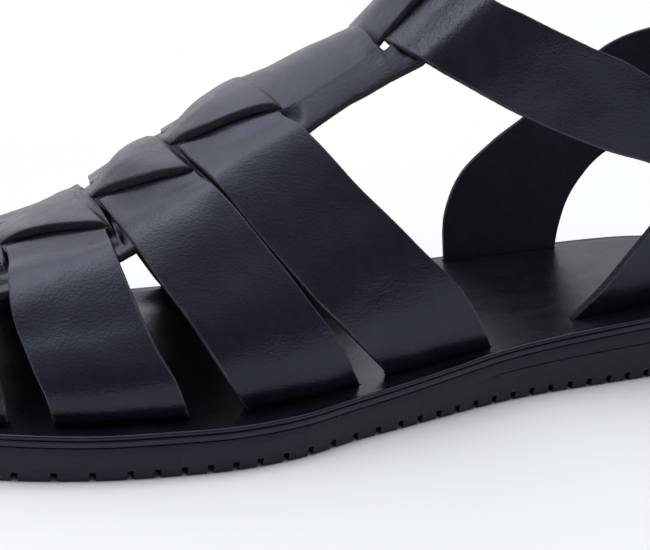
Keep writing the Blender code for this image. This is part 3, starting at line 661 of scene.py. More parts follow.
def strap_leather():
    """Polished black leather: a painted highlight runs along its edges, and it is fibrous where it
    is cut.
    """
    look = Look("black_leather", (0.0035, 0.0035, 0.0065), 0.36, **gloss(0.5, 0.74, 0.78))
    flat, at = look.attribute("flat", "Vector"), look.at
    cut, rim, flesh, crease = (look.attribute(key) for key in ("cut", "rim", "flesh", "crease"))
    patches = look.noise(at, 45.0, 3.0, 0.6)
    cloudy = look.noise(at, 260.0, 3.0, 0.6)
    grain = look.grain(flat, 1.5, 0.5)
    pores = look.noise(flat, 3.6, 2.0, 0.6)
    fibres = look.noise(flat, 2.4, 4.0, 0.75)
    dark, light = (0.0020, 0.0021, 0.0042), (0.0042, 0.0042, 0.0078)
    skin = look.mix(look.ramp(patches, 0.32, 0.72), dark, light)
    skin = look.mix(look.some(look.ramp(cloudy, 0.45, 0.75), 0.3), skin, (0.0080, 0.0080, 0.0130))
    # painted highlight: a pale line along every edge stands in for the glint on its rounded edge
    lightened = look.some(rim, look.blend(look.ramp(cloudy, 0.3, 0.7), 0.35, 0.9))
    skin = look.mix(lightened, skin, (0.085, 0.085, 0.095))
    bare = look.ramp(look.noise(at, 1900.0, 3.0, 0.7), 0.35, 0.7)
    edge = look.mix(bare, (0.0055, 0.0055, 0.0068), (0.0260, 0.0258, 0.0275))
    suede = look.ramp(look.noise(at, 600.0, 4.0, 0.7), 0.35, 0.7)
    back = look.mix(suede, (0.0028, 0.0038, 0.0075), (0.0070, 0.0090, 0.0150))
    colour = look.mix(cut, look.mix(flesh, skin, back), edge)
    rough = look.blend(flesh, look.between(cloudy, 0.20, 0.20), 0.66)
    rough = look.blend(cut, rough, 0.75)
    waves = look.bump(look.noise(at, 62.0, 1.5, 0.4), 0.0009)
    low = look.bump(grain, 0.00005, 0.8, waves)
    wrinkle = look.noise(look.scaled(flat, (0.9, 0.38, 1.0)), 1.0, 3.0, 0.55, 0.6)
    low = look.bump(look.some(wrinkle, crease), 0.0007, 1.0, low)
    fibrous = look.math("ADD", cut, look.some(flesh, 0.4))
    low = look.bump(look.some(fibres, fibrous), 0.00025, 0.8, low)
    normal = look.bump(pores, 0.00003, 0.7, low)
    return look.finish(Base_Color=colour, Roughness=rough, Normal=normal)


def footbed_leather():
    """Smooth black leather, duller in patches."""
    look = Look("footbed_leather", (0.0045, 0.0045, 0.0070), 0.3, **gloss(0.5, 0.76, 0.79))
    patches = look.noise(look.at, 38.0, 3.0, 0.6)
    worn = look.noise(look.at, 210.0, 4.0, 0.65)
    grain = look.grain(look.at, 1500.0, 0.6)
    dark, light = (0.0028, 0.0030, 0.0048), (0.0060, 0.0061, 0.0090)
    colour = look.mix(look.ramp(patches, 0.3, 0.7), dark, light)
    lightened = look.some(look.ramp(worn, 0.5, 0.75), 0.4)
    colour = look.mix(lightened, colour, (0.0110, 0.0110, 0.0150))
    rough = look.between(worn, 0.20, 0.22)
    waves = look.bump(look.noise(look.at, 55.0, 1.5, 0.4), 0.00045)
    low = look.bump(grain, 0.00004, 0.7, waves)
    normal = look.bump(look.noise(look.at, 2600.0, 2.0, 0.6), 0.000015, 0.5, low)
    return look.finish(Base_Color=colour, Roughness=rough, Normal=normal)


def sole_rubber():
    """Moulded black rubber, dusty, with small pale specks."""
    look = Look("black_rubber", (0.009, 0.0095, 0.0125), 0.5, **gloss(0.42, 0.78, 0.81))
    patches = look.noise(look.at, 60.0, 4.0, 0.65)
    dust = look.noise(look.at, 900.0, 3.0, 0.7)
    specks = look.cells(look.at, 260.0)
    brushed = look.noise(look.scaled(look.at, (420.0, 420.0, 2200.0)), 1.0, 3.0, 0.6)
    dark, light = (0.0055, 0.0060, 0.0088), (0.0115, 0.0122, 0.0165)
    colour = look.mix(look.ramp(patches, 0.3, 0.75), dark, light)
    dusty = look.some(look.ramp(dust, 0.56, 0.8), 0.4)
    colour = look.mix(dusty, colour, (0.035, 0.037, 0.045))
    speck = look.math("SUBTRACT", 1.0, look.ramp(specks, 0.035, 0.060))
    colour = look.mix(speck, colour, (0.16, 0.16, 0.17))
    rough = look.between(patches, 0.36, 0.28)
    waves = look.bump(look.noise(look.at, 150.0, 3.0, 0.6), 0.0005, 0.8)
    normal = look.bump(dust, 0.00009, 0.8, look.bump(brushed, 0.00010, 0.7, waves))
    return look.finish(Base_Color=colour, Roughness=rough, Normal=normal)


def trim_leather():
    """The leather of the buckle's tab and keeper, which are too small for laid-out grain."""
    look = Look("trim_leather", (0.006, 0.006, 0.010), 0.42, **gloss(0.36, 0.86, 0.87))
    patches = look.noise(look.at, 60.0, 3.0, 0.6)
    cloudy = look.noise(look.at, 400.0, 3.0, 0.6)
    dark, light = (0.0036, 0.0037, 0.0066), (0.0066, 0.0066, 0.0110)
    colour = look.mix(look.ramp(patches, 0.32, 0.72), dark, light)
    lightened = look.some(look.ramp(cloudy, 0.45, 0.75), 0.4)
    colour = look.mix(lightened, colour, (0.0120, 0.0120, 0.0170))
    rough = look.between(cloudy, 0.36, 0.16)
    low = look.bump(look.grain(look.at, 1900.0, 0.6), 0.00006, 0.55)
    normal = look.bump(look.noise(look.at, 3600.0, 2.0, 0.6), 0.00003, 0.6, low)
    return look.finish(Base_Color=colour, Roughness=rough, Normal=normal)


def buckle_metal():
    """Dark nickel, scuffed and a little tarnished."""
    look = Look("gunmetal", (0.30, 0.30, 0.31), 0.3, Metallic=1.0)
    scuffs = look.noise(look.scaled(look.at, (900.0, 900.0, 160.0)), 1.0, 4.0, 0.6)
    tarnish = look.ramp(look.noise(look.at, 320.0, 3.0, 0.6), 0.4, 0.75)
    colour = look.mix(tarnish, (0.36, 0.355, 0.35), (0.17, 0.165, 0.165))
    rough = look.between(scuffs, 0.18, 0.28)
    return look.finish(Base_Color=colour, Roughness=rough, Normal=look.bump(scuffs, 0.00003, 0.4))


def floor_look():
    look = Look("pale_floor", (0.87, 0.87, 0.865), 0.7)
    clouds = look.ramp(look.noise(look.at, 3.0, 2.0, 0.5), 0.3, 0.7)
    colour = look.mix(clouds, (0.865, 0.868, 0.862), (0.885, 0.886, 0.878))
    normal = look.bump(look.noise(look.at, 300.0, 2.0, 0.5), 0.0001, 0.1)
    return look.finish(Base_Color=colour, Normal=normal)


leather, footbed, rubber, metal = strap_leather(), footbed_leather(), sole_rubber(), buckle_metal()


# ---------------------------------------------------------------- front straps
LEVEL = 77.0  # degrees up the last where a row of the centre strap lies at its own y
MOST_SLIT = 86.5  # degrees up to which a front strap stays outside its slit
FAR_CURVE = 0.45  # how soon an edge swings away on the far side
STEPS = 7  # rows of points between two stops along a strap
CLEAR = 0.05  # between two leathers that touch
UNDER = 0.08  # between a strap and the bridge over it
TIP_GAP = 2.2  # how far from the ends of its slit a strap is bent at the most
CROWN = 0.3  # how far a strap bulges along its middle


def up_side(degrees):
    """Degrees up from the insole, on either side."""
    return np.minimum(degrees, 180 - degrees)


def strap_edge(row, degrees):
    """y of a front strap's edge at each angle round the last."""
    up = up_side(degrees)
    curve = dense(list(zip(STRAP_ANGLES, row[:6])))
    y = np.interp(up, curve[:, 0], curve[:, 1])
    swing = row[6] * (1 - np.sin(np.radians(up))) ** FAR_CURVE
    return y + np.where(degrees > 90, swing, 0)


def lean(row):
    """How far the centre strap's rows lean there: not at all beyond the last front strap."""
    return SLANT * smooth((-6.0 - row) / 10.0)


def row_at(degrees, y):
    return y + lean(y) * (up_side(degrees) - LEVEL)


def table(row, column):
    return np.interp(row, [r[0] for r in CENTRE], [r[column] for r in CENTRE])


def slit_share(row):
    """Share of the way along the slit of that row, and how far the bridge beside it rises."""
    share, rise = np.zeros_like(row), np.zeros_like(row)
    for start, end, height in SLITS:
        inside = (row > start) & (row < end)
        share = np.where(inside, (row - start) / (end - start), share)
        rise = np.where(inside, height, rise)
    return share, rise


def slit_opening(row, shut=-0.04, reached=2.0):
    """0 where the centre strap is whole, 1 well inside a slit."""
    found = np.zeros_like(row)
    for start, end, _ in SLITS:
        inside = (row > start + 1e-6) & (row < end - 1e-6)
        reach = np.minimum(row - start, end - row)
        found = np.where(inside, smooth((reach - shut) / reached), found)
    return found


def joint_height(row):
    """Height of the near half of the centre strap away from its bridges."""
    rows = [-112.5, -110.9, -16.0, -8.0, 6.0, 12.6, 42.0, 43.5]
    return np.interp(row, rows, [-1.2, JOINT, JOINT, 0.1, 0.1, JOINT, JOINT, 0.4])


def bridge_height(degrees, row, slit):
    """Inner face of the centre strap between its slits, higher on the near side."""
    share, rise = slit_share(row)
    arch = np.sin(np.pi * share)
    # the edge along the slit rises at once, the middle more slowly
    steep = np.sqrt(arch)
    arch = steep + 0.8 * (arch - steep) * smooth((degrees - slit) / 10.0)
    near = joint_height(row) + rise * arch
    far = table(row, 3)
    far = far + 0.5 * np.maximum(near - far, 0) * slit_opening(row)
    farther = smooth((degrees - slit) / (180 - np.minimum(slit, FAR_SLIT) - slit))
    return near + (far - near) * farther


def pressed(row):
    """1 where a strap lies over the margin, falling to 0 beyond the ends of its slit."""
    found = np.zeros_like(row)
    for start, end, _ in SLITS[:4]:
        found = np.maximum(found, smooth(1 - np.maximum(start - row, row - end) / 5.0))
    start, end, _ = SLITS[4]
    ankle = smooth((row - start - 2.5) / 4.5) * smooth((end + 3.0 - row) / 3.0)
    return np.maximum(found, 0.6 * ankle)


def margin_height(row, share, far, opening):
    """Inner face of the centre strap outside its slits, pressed down by the strap over it."""
    height = joint_height(row)
    if far:
        height = height + (table(row, 3) - height) * smooth((share - 0.3) / 0.7)
    closed = 1 - (1 - opening) * smooth((share - 0.72) / 0.28)
    return height + (SUNK - height) * pressed(row) * smooth((share - 0.1) / 0.5) * closed


def strap_lift(degrees, y, slit, edge, bounds):
    """How far a front strap's inner face is off the last."""
    up, far = up_side(degrees), degrees > 90
    far_slit = np.minimum(slit, FAR_SLIT)
    own = np.where(far, far_slit, slit)
    row = np.clip(row_at(degrees, y), bounds[0] + TIP_GAP, bounds[1] - TIP_GAP)
    under = bridge_height(np.clip(degrees, slit, 180 - far_slit), row, slit) - STRAP - UNDER
    share = (up - edge) / (own - edge)
    margins = [margin_height(row, share, side, 1.0) for side in (True, False)]
    over = np.where(far, *margins) + STRAP + CLEAR
    over = np.maximum(over * smooth((up - edge + 24.0) / 26.0), 0)
    return under + (over - under) * smooth((own + 1.0 - up) / 5.0)


def across(share):
    """1 along a strap's middle, 0 at its edges."""
    return 1 - (2 * share[None] - 1) ** 2


def ended(grid, drop=0.0):
    """Adds a row beyond each end of a strap, down in its slot."""
    return np.concatenate([grid[:1] - drop, grid, grid[-1:] - drop])


def front_strap(name, front, rear, seed):
    """From the outer slot over the margin, under the bridge and down to the inner slot."""
    width = rear[5] - front[5]
    share = edge_shares(width, 22)
    one = np.ones(len(share))
    y_top = front[5] + share * width
    away = [abs(s + e - front[5] - rear[5]) for s, e, _ in SLITS]
    start, end, _ = SLITS[away.index(min(away))]
    slit = LEVEL * one
    for _ in range(3):
        slit = table(np.clip(row_at(slit, y_top), start + 0.3, end - 0.3), 2)
    slit = np.minimum(slit, MOST_SLIT)
    far = np.minimum(slit, FAR_SLIT)
    edge = float(table((front[5] + rear[5]) / 2, 1))
    low = [at * one for at in (0, 6, 13, 21, 30, 39, edge - 9, edge - 3, edge + 4)]
    over = [slit - 4, slit - 1.2, slit + 1.5, 181.5 - far - 3, 181.2 - far, 184 - far]
    stops = [*low, *over, *(180 - s for s in low[::-1])]
    degrees = [stops[0]]
    for a, b in zip(stops, stops[1:]):
        degrees += [a + (b - a) * (s + 1) / STEPS for s in range(STEPS)]
    degrees = np.array(degrees)
    y = strap_edge(front, degrees) * (1 - share) + strap_edge(rear, degrees) * share
    inner = over_last(degrees, y, strap_lift(degrees, y, slit[None], edge, (start, end)))
    normals = -grid_normals(inner)
    up = up_side(degrees)
    normals[..., 2] *= smooth(up / 6.0)  # upright where it goes down into its slot
    normals = unit(normals)
    crown = CROWN * smooth((up - 8) / 20) * smooth((62 - up) / 16) * across(share)
    inner = ended(inner + normals * crown[..., None], [0, 0, INSOLE_THICK - 0.1])
    normals, up = ended(normals), ended(up)
    slow = np.sin(inner[..., 1] / 5.3 + inner[..., 2] / 7.1 + seed) * 0.05
    slow = slow + np.sin(inner[..., 1] / 11.0 - inner[..., 2] / 4.7) * 0.04
    thick = np.full(inner.shape[:2], STRAP) + slow * smooth(up / 12)
    crease = 0.10 * smooth(1 - np.abs(up - 14) / 12)
    strap_piece(name, inner, normals, thick, seed, crease=crease)


for seed, (name, (front, rear)) in enumerate(FRONT_STRAPS.items(), 1):
    front_strap(name, front, rear, seed)


# ---------------------------------------------------------------- centre strap
ROW_STEP, LEAST_STEP = 0.8, 0.09
INTO_SLIT = np.array([0.0, 0.1, 0.25, 0.45, 0.7, 1.0, 1.35, 1.75, 2.2, 2.7])
BEFORE_SLIT = np.array([0.24, 0.5, 0.8, 1.2])
CENTRE_SEED = 9
GRAIN_SHIFT = {"near": 0.0, "bridge": 15.0, "far": 40.0}
FOLD_HIGH = 0.02
MARGIN_UPRIGHT, BRIDGE_UPRIGHT = 0.75, 0.6  # how far a cut edge is turned upright
BRIDGE_EXTRA = 0.25  # thickness added to a bridge


def centre_rows():
    """Rows of the centre strap, close together where its slits end."""
    first, final = CENTRE[0][0], CENTRE[-1][0]
    marks = [*np.arange(first, final, ROW_STEP), final]
    for start, end, _ in SLITS:
        for tip, inward in ((start, 1), (end, -1)):
            marks += [*(tip + inward * INTO_SLIT), *(tip - inward * BEFORE_SLIT)]
    marks = np.unique(np.round(np.clip(marks, first, final), 3))
    tips = [tip for slit in SLITS for tip in slit[:2]]
    keep = [marks[0]]
    for mark in marks[1:]:
        if mark - keep[-1] > LEAST_STEP:
            keep.append(mark)
        elif mark in tips:
            keep[-1] = mark
    return np.array(keep)


def punched(row):
    """Degrees by which the rearmost slit is wider at its front end."""
    start = SLITS[-1][0]
    return 3.6 * smooth((row - start) / 0.9) * smooth((start + 9.0 - row) / 4.0)


def puckers(degrees, row):
    """Fine folds that fan out from the ends of the slits."""
    found = np.zeros(np.broadcast(degrees, row).shape)
    up = up_side(degrees)
    for number, (start, end, _) in enumerate(SLITS):
        for tip, ahead in ((start, -1), (end, 1)):
            du, dv = (row - tip) * ahead, (up - float(table(tip, 2))) * 0.75
            r, turn = np.hypot(du, dv), np.arctan2(dv, du)
            fold = np.sin(turn * 5 + number * 1.7 + ahead) * np.clip(r / 2.5, 0, 1)
            found += fold * np.exp(-((r / 3.8) ** 2)) * smooth((du + 1.5) / 2.0)
    return found


def centre_strip(side, row):
    """Rings and attributes of the near margin, the bridges or the far margin."""
    edge, slit = table(row, 1), table(row, 2)
    far_slit = np.minimum(slit, FAR_SLIT)
    opening, sinking = slit_opening(row), slit_opening(row, 2.6, 3.0)
    whole = np.ones_like(opening)
    if side == "bridge":
        degrees = slit + (180 - far_slit - slit) * edge_shares(16.0, 24)
        own, cut = bridge_height(degrees, row, slit), (opening, opening)
        upright = BRIDGE_UPRIGHT * opening + 0 * degrees
    else:
        share = edge_shares(15.0, 10)
        own = margin_height(row, share[None], side == "far", sinking)
        if side == "near":
            degrees, cut = edge + (slit - punched(row) - edge) * share, (whole, opening)
        else:
            degrees, own = (180 - edge - (far_slit - edge) * share)[:, ::-1], own[:, ::-1]
            cut, share = (opening, whole), share[::-1]
        upright = MARGIN_UPRIGHT * smooth(1 - share[None] / 0.45) + 0 * degrees
    fold = puckers(degrees, row + 0 * degrees)
    height = own + FOLD_HIGH * fold
    ys = row - lean(row) * (up_side(degrees) - LEVEL)
    inner = over_last(degrees, ys, height)
    straight = unit(over_last(degrees, ys, height + 1.0) - inner)
    thick = STRAP + 0.04 * np.sin(ys / 2.3 + degrees / 5.0)
    up = unit(straight * (1 - upright[..., None]) + np.array([0, 0, 1.0]) * upright[..., None])
    if side == "bridge":
        thick = thick + BRIDGE_EXTRA * opening
    else:
        # the skin stays where it is, and the cut edge stands upright
        inner = inner + (straight - up) * thick[..., None]
    rings, values = shell(inner, up, thick, CENTRE_SEED, 0.0, np.concatenate(cut, 1))
    values["crease"] = wrapped(0.04 + 0.12 * np.clip(np.abs(fold) * 2, 0, 1))
    values["flat"][..., 1] += GRAIN_SHIFT[side]
    return rings, listed(values), degrees.shape[1]


def centre_strap():
    """Three strips side by side. The walls between them are only there where a slit is open."""
    row = centre_rows()[:, None]
    rows, shut = len(row), slit_opening(row)[:, 0] <= 0
    points, faces, gathered, start = [], [], {}, 0
    for side in GRAIN_SHIFT:
        rings, values, columns = centre_strip(side, row)
        size = rings.shape[1]
        skins = [*range(columns - 1), *range(columns + WALL, 2 * columns + WALL - 1)]
        right, left = range(columns - 1, columns + WALL), range(2 * columns + WALL - 1, size)
        for i in range(rows - 1):
            closed = shut[i] and shut[i + 1]
            use = list(skins)
            if side == "far" or not closed:
                use += right
            if side == "near" or not closed:
                use += left
            for j in use:
                k = (j + 1) % size
                a, b = start + i * size, start + (i + 1) * size
                faces.append((a + j, a + k, b + k, b + j))
        for end in (0, rows - 1):
            faces += end_faces(start + end * size, columns, size)
        points.append(rings.reshape(-1, 3))
        for key, numbers in values.items():
            gathered.setdefault(key, []).append(numbers)
        start += rows * size
    values = {key: np.concatenate(parts) for key, parts in gathered.items()}
    return piece("centre_strap", np.concatenate(points), faces, leather, "strap_leather", values)


centre = centre_strap()


# ---------------------------------------------------------------- heel and ankle straps
TABLE_STEP = 0.1  # of a table's row, between two rings
BURIED = 8  # rings that stay upright at each end of the heel strap
BOW = 0.35  # how far the heel strap bulges along its middle
HEEL_SEED, ANKLE_SEED = 6, 7


def ribbon(rows, share):
    """Inner face of a strap from a table of its upper and lower edge."""
    curve = dense(rows, TABLE_STEP, straight_ends=True)
    upper, lower = curve[:, None, :3], curve[:, None, 3:]
    return lower + (upper - lower) * share[None, :, None]


def ankle_rows():
    """The ankle strap's edges: up the outer side, over the last, down the inner side."""

    def over_top(side):
        rows = []
        for degrees, front, rear, lift in ANKLE_TOP:
            angle = np.array(degrees if side > 0 else 180 - degrees)
            lower, upper = (over_last(angle, np.array(y), np.array(lift)) for y in (front, rear))
            rows.append((*upper, *lower))
        return rows

    return [*ANKLE_OUTER[::-1], *over_top(1), *over_top(-1)[-2::-1], *ANKLE_INNER]


def heel_strap():
    share = edge_shares(30.0, 24)
    inner = ribbon(HEEL, share)
    rings = np.arange(len(inner))
    ends = np.minimum(rings, len(inner) - 1 - rings)[:, None]
    free = smooth((ends - BURIED) / 12.0)
    normals = grid_normals(inner)
    normals[..., 2] *= free
    normals = unit(normals)
    bow = BOW * smooth((ends - 14) / 20.0) * across(share)
    inner = inner + normals * bow[..., None]
    thick = STRAP + 0.06 * np.sin(inner[..., 1] / 4.1 + inner[..., 2] / 6.3) * free
    strap_piece("heel_strap", inner, normals, thick, HEEL_SEED, scallop=0.16)


def ankle_strap():
    share = edge_shares(20.0, 22)
    inner = ribbon(ankle_rows(), share)
    where = np.arange(len(inner)) * TABLE_STEP
    bend = len(ANKLE_OUTER) + 0.2
    near_bend = np.exp(-(((where - bend + 0.9) / 1.1) ** 2))[:, None] * np.ones(len(share))
    fading = np.exp(-(((where - bend + 1.0) / 2.0) ** 2))[:, None]
    thick = STRAP + 0.03 * np.sin(where[:, None] * 5.1 + share[None] * 2.0) * fading
    crease = 0.05 + 0.35 * near_bend
    strap_piece("ankle_strap", inner, -grid_normals(inner), thick, ANKLE_SEED, 0.05, crease)


heel_strap()
ankle_strap()


# ---------------------------------------------------------------- sole
BEAD, BEAD_INSET, BEAD_HIGH = 0.62, 0.82, 2.18  # radius and centre of the footbed's beaded edge
INSOLE_FOOT = [  # inset and height up the footbed's edge, below its bead
    *[(0.35, 0.0), (0.30, 0.3), (0.24, 0.75), (0.20, 1.12)],
    *[(0.28, 1.24), (0.62, 1.38), (0.72, 1.46), (0.60, 1.54)],
]
INSOLE_TOP = [(1.25, 2.70), (1.7, 2.60), (2.4, 2.62), (3.4, 2.70)]
DISH, RAISED = 0.35, 1.9  # how far the footbed is hollowed, and raised at the inner forefoot
JOINT_AT = 0.72  # share of the outsole's height where its moulds met
NOTCH_GAP = 0.35  # between a notch and the nearest section beside it
SLOT_LOW, SLOT_HIGH = 4.0, 26.0


def stations(ends, start, step):
    """y of a sole's sections, close together round the toe and the heel."""
    toe, heel = dense(SOLE[:ends], 0.1)[:, 0], dense(SOLE[-6:], 0.1)[:, 0]
    return np.concatenate([toe, np.arange(start, 122, step), heel])


def insole():
    turns = [math.radians(-50 + 150 * step / 8) for step in range(9)]
    bead = [(BEAD_INSET - BEAD * math.cos(t), BEAD_HIGH + BEAD * math.sin(t)) for t in turns]
    inset, height = np.array([*INSOLE_FOOT, *bead, *INSOLE_TOP]).T
    marks = np.unique(stations(5, -127, 1.8))
    marks = marks[np.concatenate([[True], np.diff(marks) > 0.08])]
    lateral, medial, top, _ = columns_at(SOLE_CURVE, marks)
    reach = np.linspace(0, 1, 41)[1:-1]
    rings = []
    for i, y in enumerate(marks):
        # near the two ends the profile is squeezed to fit the short section
        half = (lateral[i] - medial[i]) / 2
        squeeze = min(1.0, half * 0.8 / INSOLE_TOP[-1][0])
        own = inset * squeeze
        under = top[i] - INSOLE_THICK
        right = np.stack([lateral[i] - own, np.full_like(own, y), under + height], 1)
        left = np.stack([medial[i] + own, np.full_like(own, y), under + height], 1)
        middle = right[-1] + (left[-1] - right[-1]) * reach[:, None]
        middle[:, 2] -= DISH * (1 - (2 * reach - 1) ** 2) * squeeze
        inward = middle[:, 0] - medial[i]
        raised = smooth((y + 112.0) / 20.0) * smooth((40.0 - y) / 30.0)
        middle[:, 2] += RAISED * raised * smooth(inward / 4.5) * smooth((17.0 - inward) / 12.0)
        base = np.linspace(right[0], left[0], 6)[1:-1][::-1]
        rings.append(np.concatenate([right, middle, left[::-1], base]))
    rings = np.array(rings)
    rows, size = rings.shape[:2]
    faces = bands(rows, size) + caps(rows, size)
    return piece("footbed", rings.reshape(-1, 3), faces, footbed, "footbed_leather")


def plug(name, inner, outer):
    """Upright cutter a little larger all round than a strap's end."""
    inner, outer = inner[:, :2], outer[:, :2]
    out = unit(outer - inner)
    side = unit(inner[-1] - inner[0])
    extra = np.zeros_like(inner)
    extra[0], extra[-1] = -side * SEAM, side * SEAM
    loop = np.concatenate([inner - out * SEAM + extra, (outer + out * SEAM + extra)[::-1]])
    points = [(x, y, z) for z in (SLOT_LOW, SLOT_HIGH) for x, y in loop]
    return cutter(name, points, caps(2, len(loop)) + bands(2, len(loop)))


def slot(name, inner, along, outward):
    """Cutter for a strap's end whose inner face stands on those points."""
    out = unit(np.cross(along, [0, 0, 1.0]))
    if np.atleast_2d(out)[0, 0] * outward < 0:
        out = -out
    return plug(f"slot_{name}", inner, inner + out * STRAP)


def cut_slots(target):
    cutters = []
    share = np.linspace(0, 1, 9)
    for name, (front, rear) in FRONT_STRAPS.items():
        for side, angle in ((1, 0.0), (-1, 180.0)):
            shift = (0, 0) if side > 0 else (front[6], rear[6])
            y = (front[0] + shift[0]) * (1 - share) + (rear[0] + shift[1]) * share
            inner = last(np.full(9, angle), y)
            along = unit(np.gradient(inner, axis=0))
            cutters.append(slot(f"{name}_{side}", inner, along, side))
    for number, row in enumerate((HEEL[0], HEEL[-1])):
        upper, lower = np.array(row[:3]), np.array(row[3:])
        inner = np.linspace(lower, upper, 9)
        cutters.append(slot(f"heel_{number}", inner, upper - lower, upper[0]))
    shade(carve(target, cutters), 50)


insole_piece = insole()
cut_slots(insole_piece)


def outsole():
    """Rubber sole: notched lower edge, with a notch cut in from each side at the same place, and a
    faint joint line above the heel."""
    notches = [
        (start + i * pitch - TREAD_WIDE / 2, start + i * pitch + TREAD_WIDE / 2)
        for start, pitch, count in TREAD
        for i in range(count)
    ]

    def clear_of(y):
        return not any(a - NOTCH_GAP <= y <= b + NOTCH_GAP for a, b in notches)

    stops = [(y, None) for y in stations(6, -116, 2.0) if clear_of(y)]
    stops += [(y, n) for n, pair in enumerate(notches) for y in pair]
    stops.sort(key=lambda s: s[0])
    clear = [stops[0]]
    for stop in stops[1:]:
        if stop[1] is not None or stop[0] - clear[-1][0] >= 0.12:
            clear.append(stop)
    points, faces, sections = [], [], []
    for y, _ in clear:
        lateral, medial, top, bottom = (float(v) for v in columns_at(SOLE_CURVE, y))
        top -= INSOLE_THICK + SEAM
        deep = min(TREAD_DEEP, (lateral - medial) * 0.3)
        tall = top - bottom
        roof = bottom + TREAD_HIGH
        joint = bottom + JOINT_AT * tall
        dent = 0.3 * float(smooth((y - 22) / 18)) + 0.02
        thin = min(1.0, (lateral - medial) / 14.0)
        profile = {  # inset from the sole's edge, and height
            "foot": (0.7, bottom),
            "inset": (deep, bottom),
            "roof": (deep, roof),
            "tread": (0.02, roof),
            "low": (-0.06, roof + 0.12 * (tall - TREAD_HIGH)),
            "wall": (-0.14, bottom + 0.58 * tall),
            "line_low": (-0.13, joint - 0.28),
            "line": (-0.13 + dent, joint),
            "line_high": (-0.12, joint + 0.28),
            "high": (0.02, top - 0.75),
            "rim": (0.16, top - 0.28),
            "lip": (0.5 * thin + 0.1, top),
        }
        ids = {}
        for side, edge in ((1, lateral), (-1, medial)):
            for key, (inset, z) in profile.items():
                ids[side, key] = len(points)
                points.append((edge - side * inset, y, z))
        sections.append(ids)
    wall = list(profile)[3:]
    for here, there, (_, before), (_, after) in zip(sections, sections[1:], clear, clear[1:]):

        def quad(s, a, t, b):
            faces.append((here[s, a], here[t, b], there[t, b], there[s, a]))

        groove = before is not None and before == after
        quad(1, "lip", -1, "lip")
        for side in (1, -1):
            for low, high in zip(wall, wall[1:]):
                quad(side, low, side, high)
            if groove:
                quad(side, "roof", side, "tread")
            else:
                quad(side, "foot", side, "tread")
                quad(side, "inset", side, "foot")
        if groove:
            for side in (1, -1):
                quad(side, "inset", side, "roof")
        quad(-1, "inset", 1, "inset")
    for ids, (_, notch) in zip(sections, clear):
        if notch is not None:
            for side in (1, -1):
                faces.append([ids[side, key] for key in ("foot", "inset", "roof", "tread")])
    order = ("inset", "foot", *wall)
    for ids in (sections[0], sections[-1]):
        faces.append([ids[1, key] for key in order] + [ids[-1, key] for key in reversed(order)])
    used = sorted({v for face in faces for v in face})
    index = {v: i for i, v in enumerate(used)}
    faces = [[index[v] for v in face] for face in faces]
    return piece("sole", [points[v] for v in used], faces, rubber, "sole_rubber", sharp=32)


sole_piece = outsole()


# ---------------------------------------------------------------- buckle
trim = trim_leather()
PRONG_REST, PAST_BAR = 0.1, 1.2  # how far the prong lies off the front bar, and reaches past it
SHOULDER = 0.3  # how high the keeper's outer corners are above its hollow


class Seat:
    """Axes at the buckle's hinge bar: a ahead along the strap, b across it, c off it."""

    def __init__(self):
        self.origin = Vector(HINGE)
        self.a = (Vector(FRONT_BAR) - self.origin).normalized()
        self.c = self.a.cross(Vector(ACROSS)).normalized()
        if self.c.x < 0:
            self.c = -self.c
        self.b = self.c.cross(self.a)

    def at(self, a, b, c):
        return self.origin + self.a * a + self.b * b + self.c * c


seat = Seat()


def tube(name, path, closed, sides):
    """A metal rod along a path of (centre, side axis, off axis, half thickness)."""
    points = []
    for middle, side, off, half in path:
        for i in range(sides):
            turn = 2 * math.pi * (i + 0.5) / sides
            at = middle + side * half * math.cos(turn) + off * half * math.sin(turn)
            points.append(tuple(at))
    faces = bands(len(path), sides, closed) + ([] if closed else caps(len(path), sides))
    return piece(name, points, faces, metal, "buckle_metal", sharp=50)


def frame_ring():
    path = []
    for end, flank, start in ((1, 1, 0), (0, 1, 90), (0, -1, 180), (1, -1, 270)):
        a = FRAME_LONG - FRAME_CORNER if end else FRAME_CORNER
        b = flank * (FRAME_WIDE / 2 - FRAME_CORNER)
        for step in range(0, 91, 10):
            turn = math.radians(start + step)
            out = seat.a * math.cos(turn) + seat.b * math.sin(turn)
            path.append((seat.at(a, b, 0) + out * FRAME_CORNER, out, seat.c, FRAME_ROD))
    return tube("buckle_ring", path, True, 18)


def prong():
    start = FRAME_ROD + SEAM + PRONG_ROD
    rest = FRAME_ROD + PRONG_ROD + PRONG_REST
    curve = dense(PRONG_PATH, 0.1)
    halves = [PRONG_ROD * taper for taper in (0.55, 0.80, 0.92, 0.97, 1.0)]  # from the tip
    path = []
    for n, (a, c) in enumerate(curve):
        half = halves[min(len(curve) - 1 - n, 4)]
        at = seat.at(start + a * (FRAME_LONG + PAST_BAR - start), 0, c * rest)
        path.append((at, seat.b, seat.c, half))
    return tube("buckle_pin", path, False, 14)


def plate(upper, lower, half_wide, steps=6):
    """An outline in the (along, off) plane at each edge, joined across the strap."""
    upper, lower = np.array(upper, float), np.array(lower, float)
    a, b, c, origin = (np.array(v) for v in (seat.a, seat.b, seat.c, seat.origin))
    points = []
    for off in np.linspace(-half_wide, half_wide, steps):
        t = (off + half_wide) / (2 * half_wide)
        line = upper * (1 - t) + lower * t
        points.append(origin + line[:, :1] * a + off * b + line[:, 1:] * c)
    return np.concatenate(points), caps(steps, len(upper)) + bands(steps, len(upper))


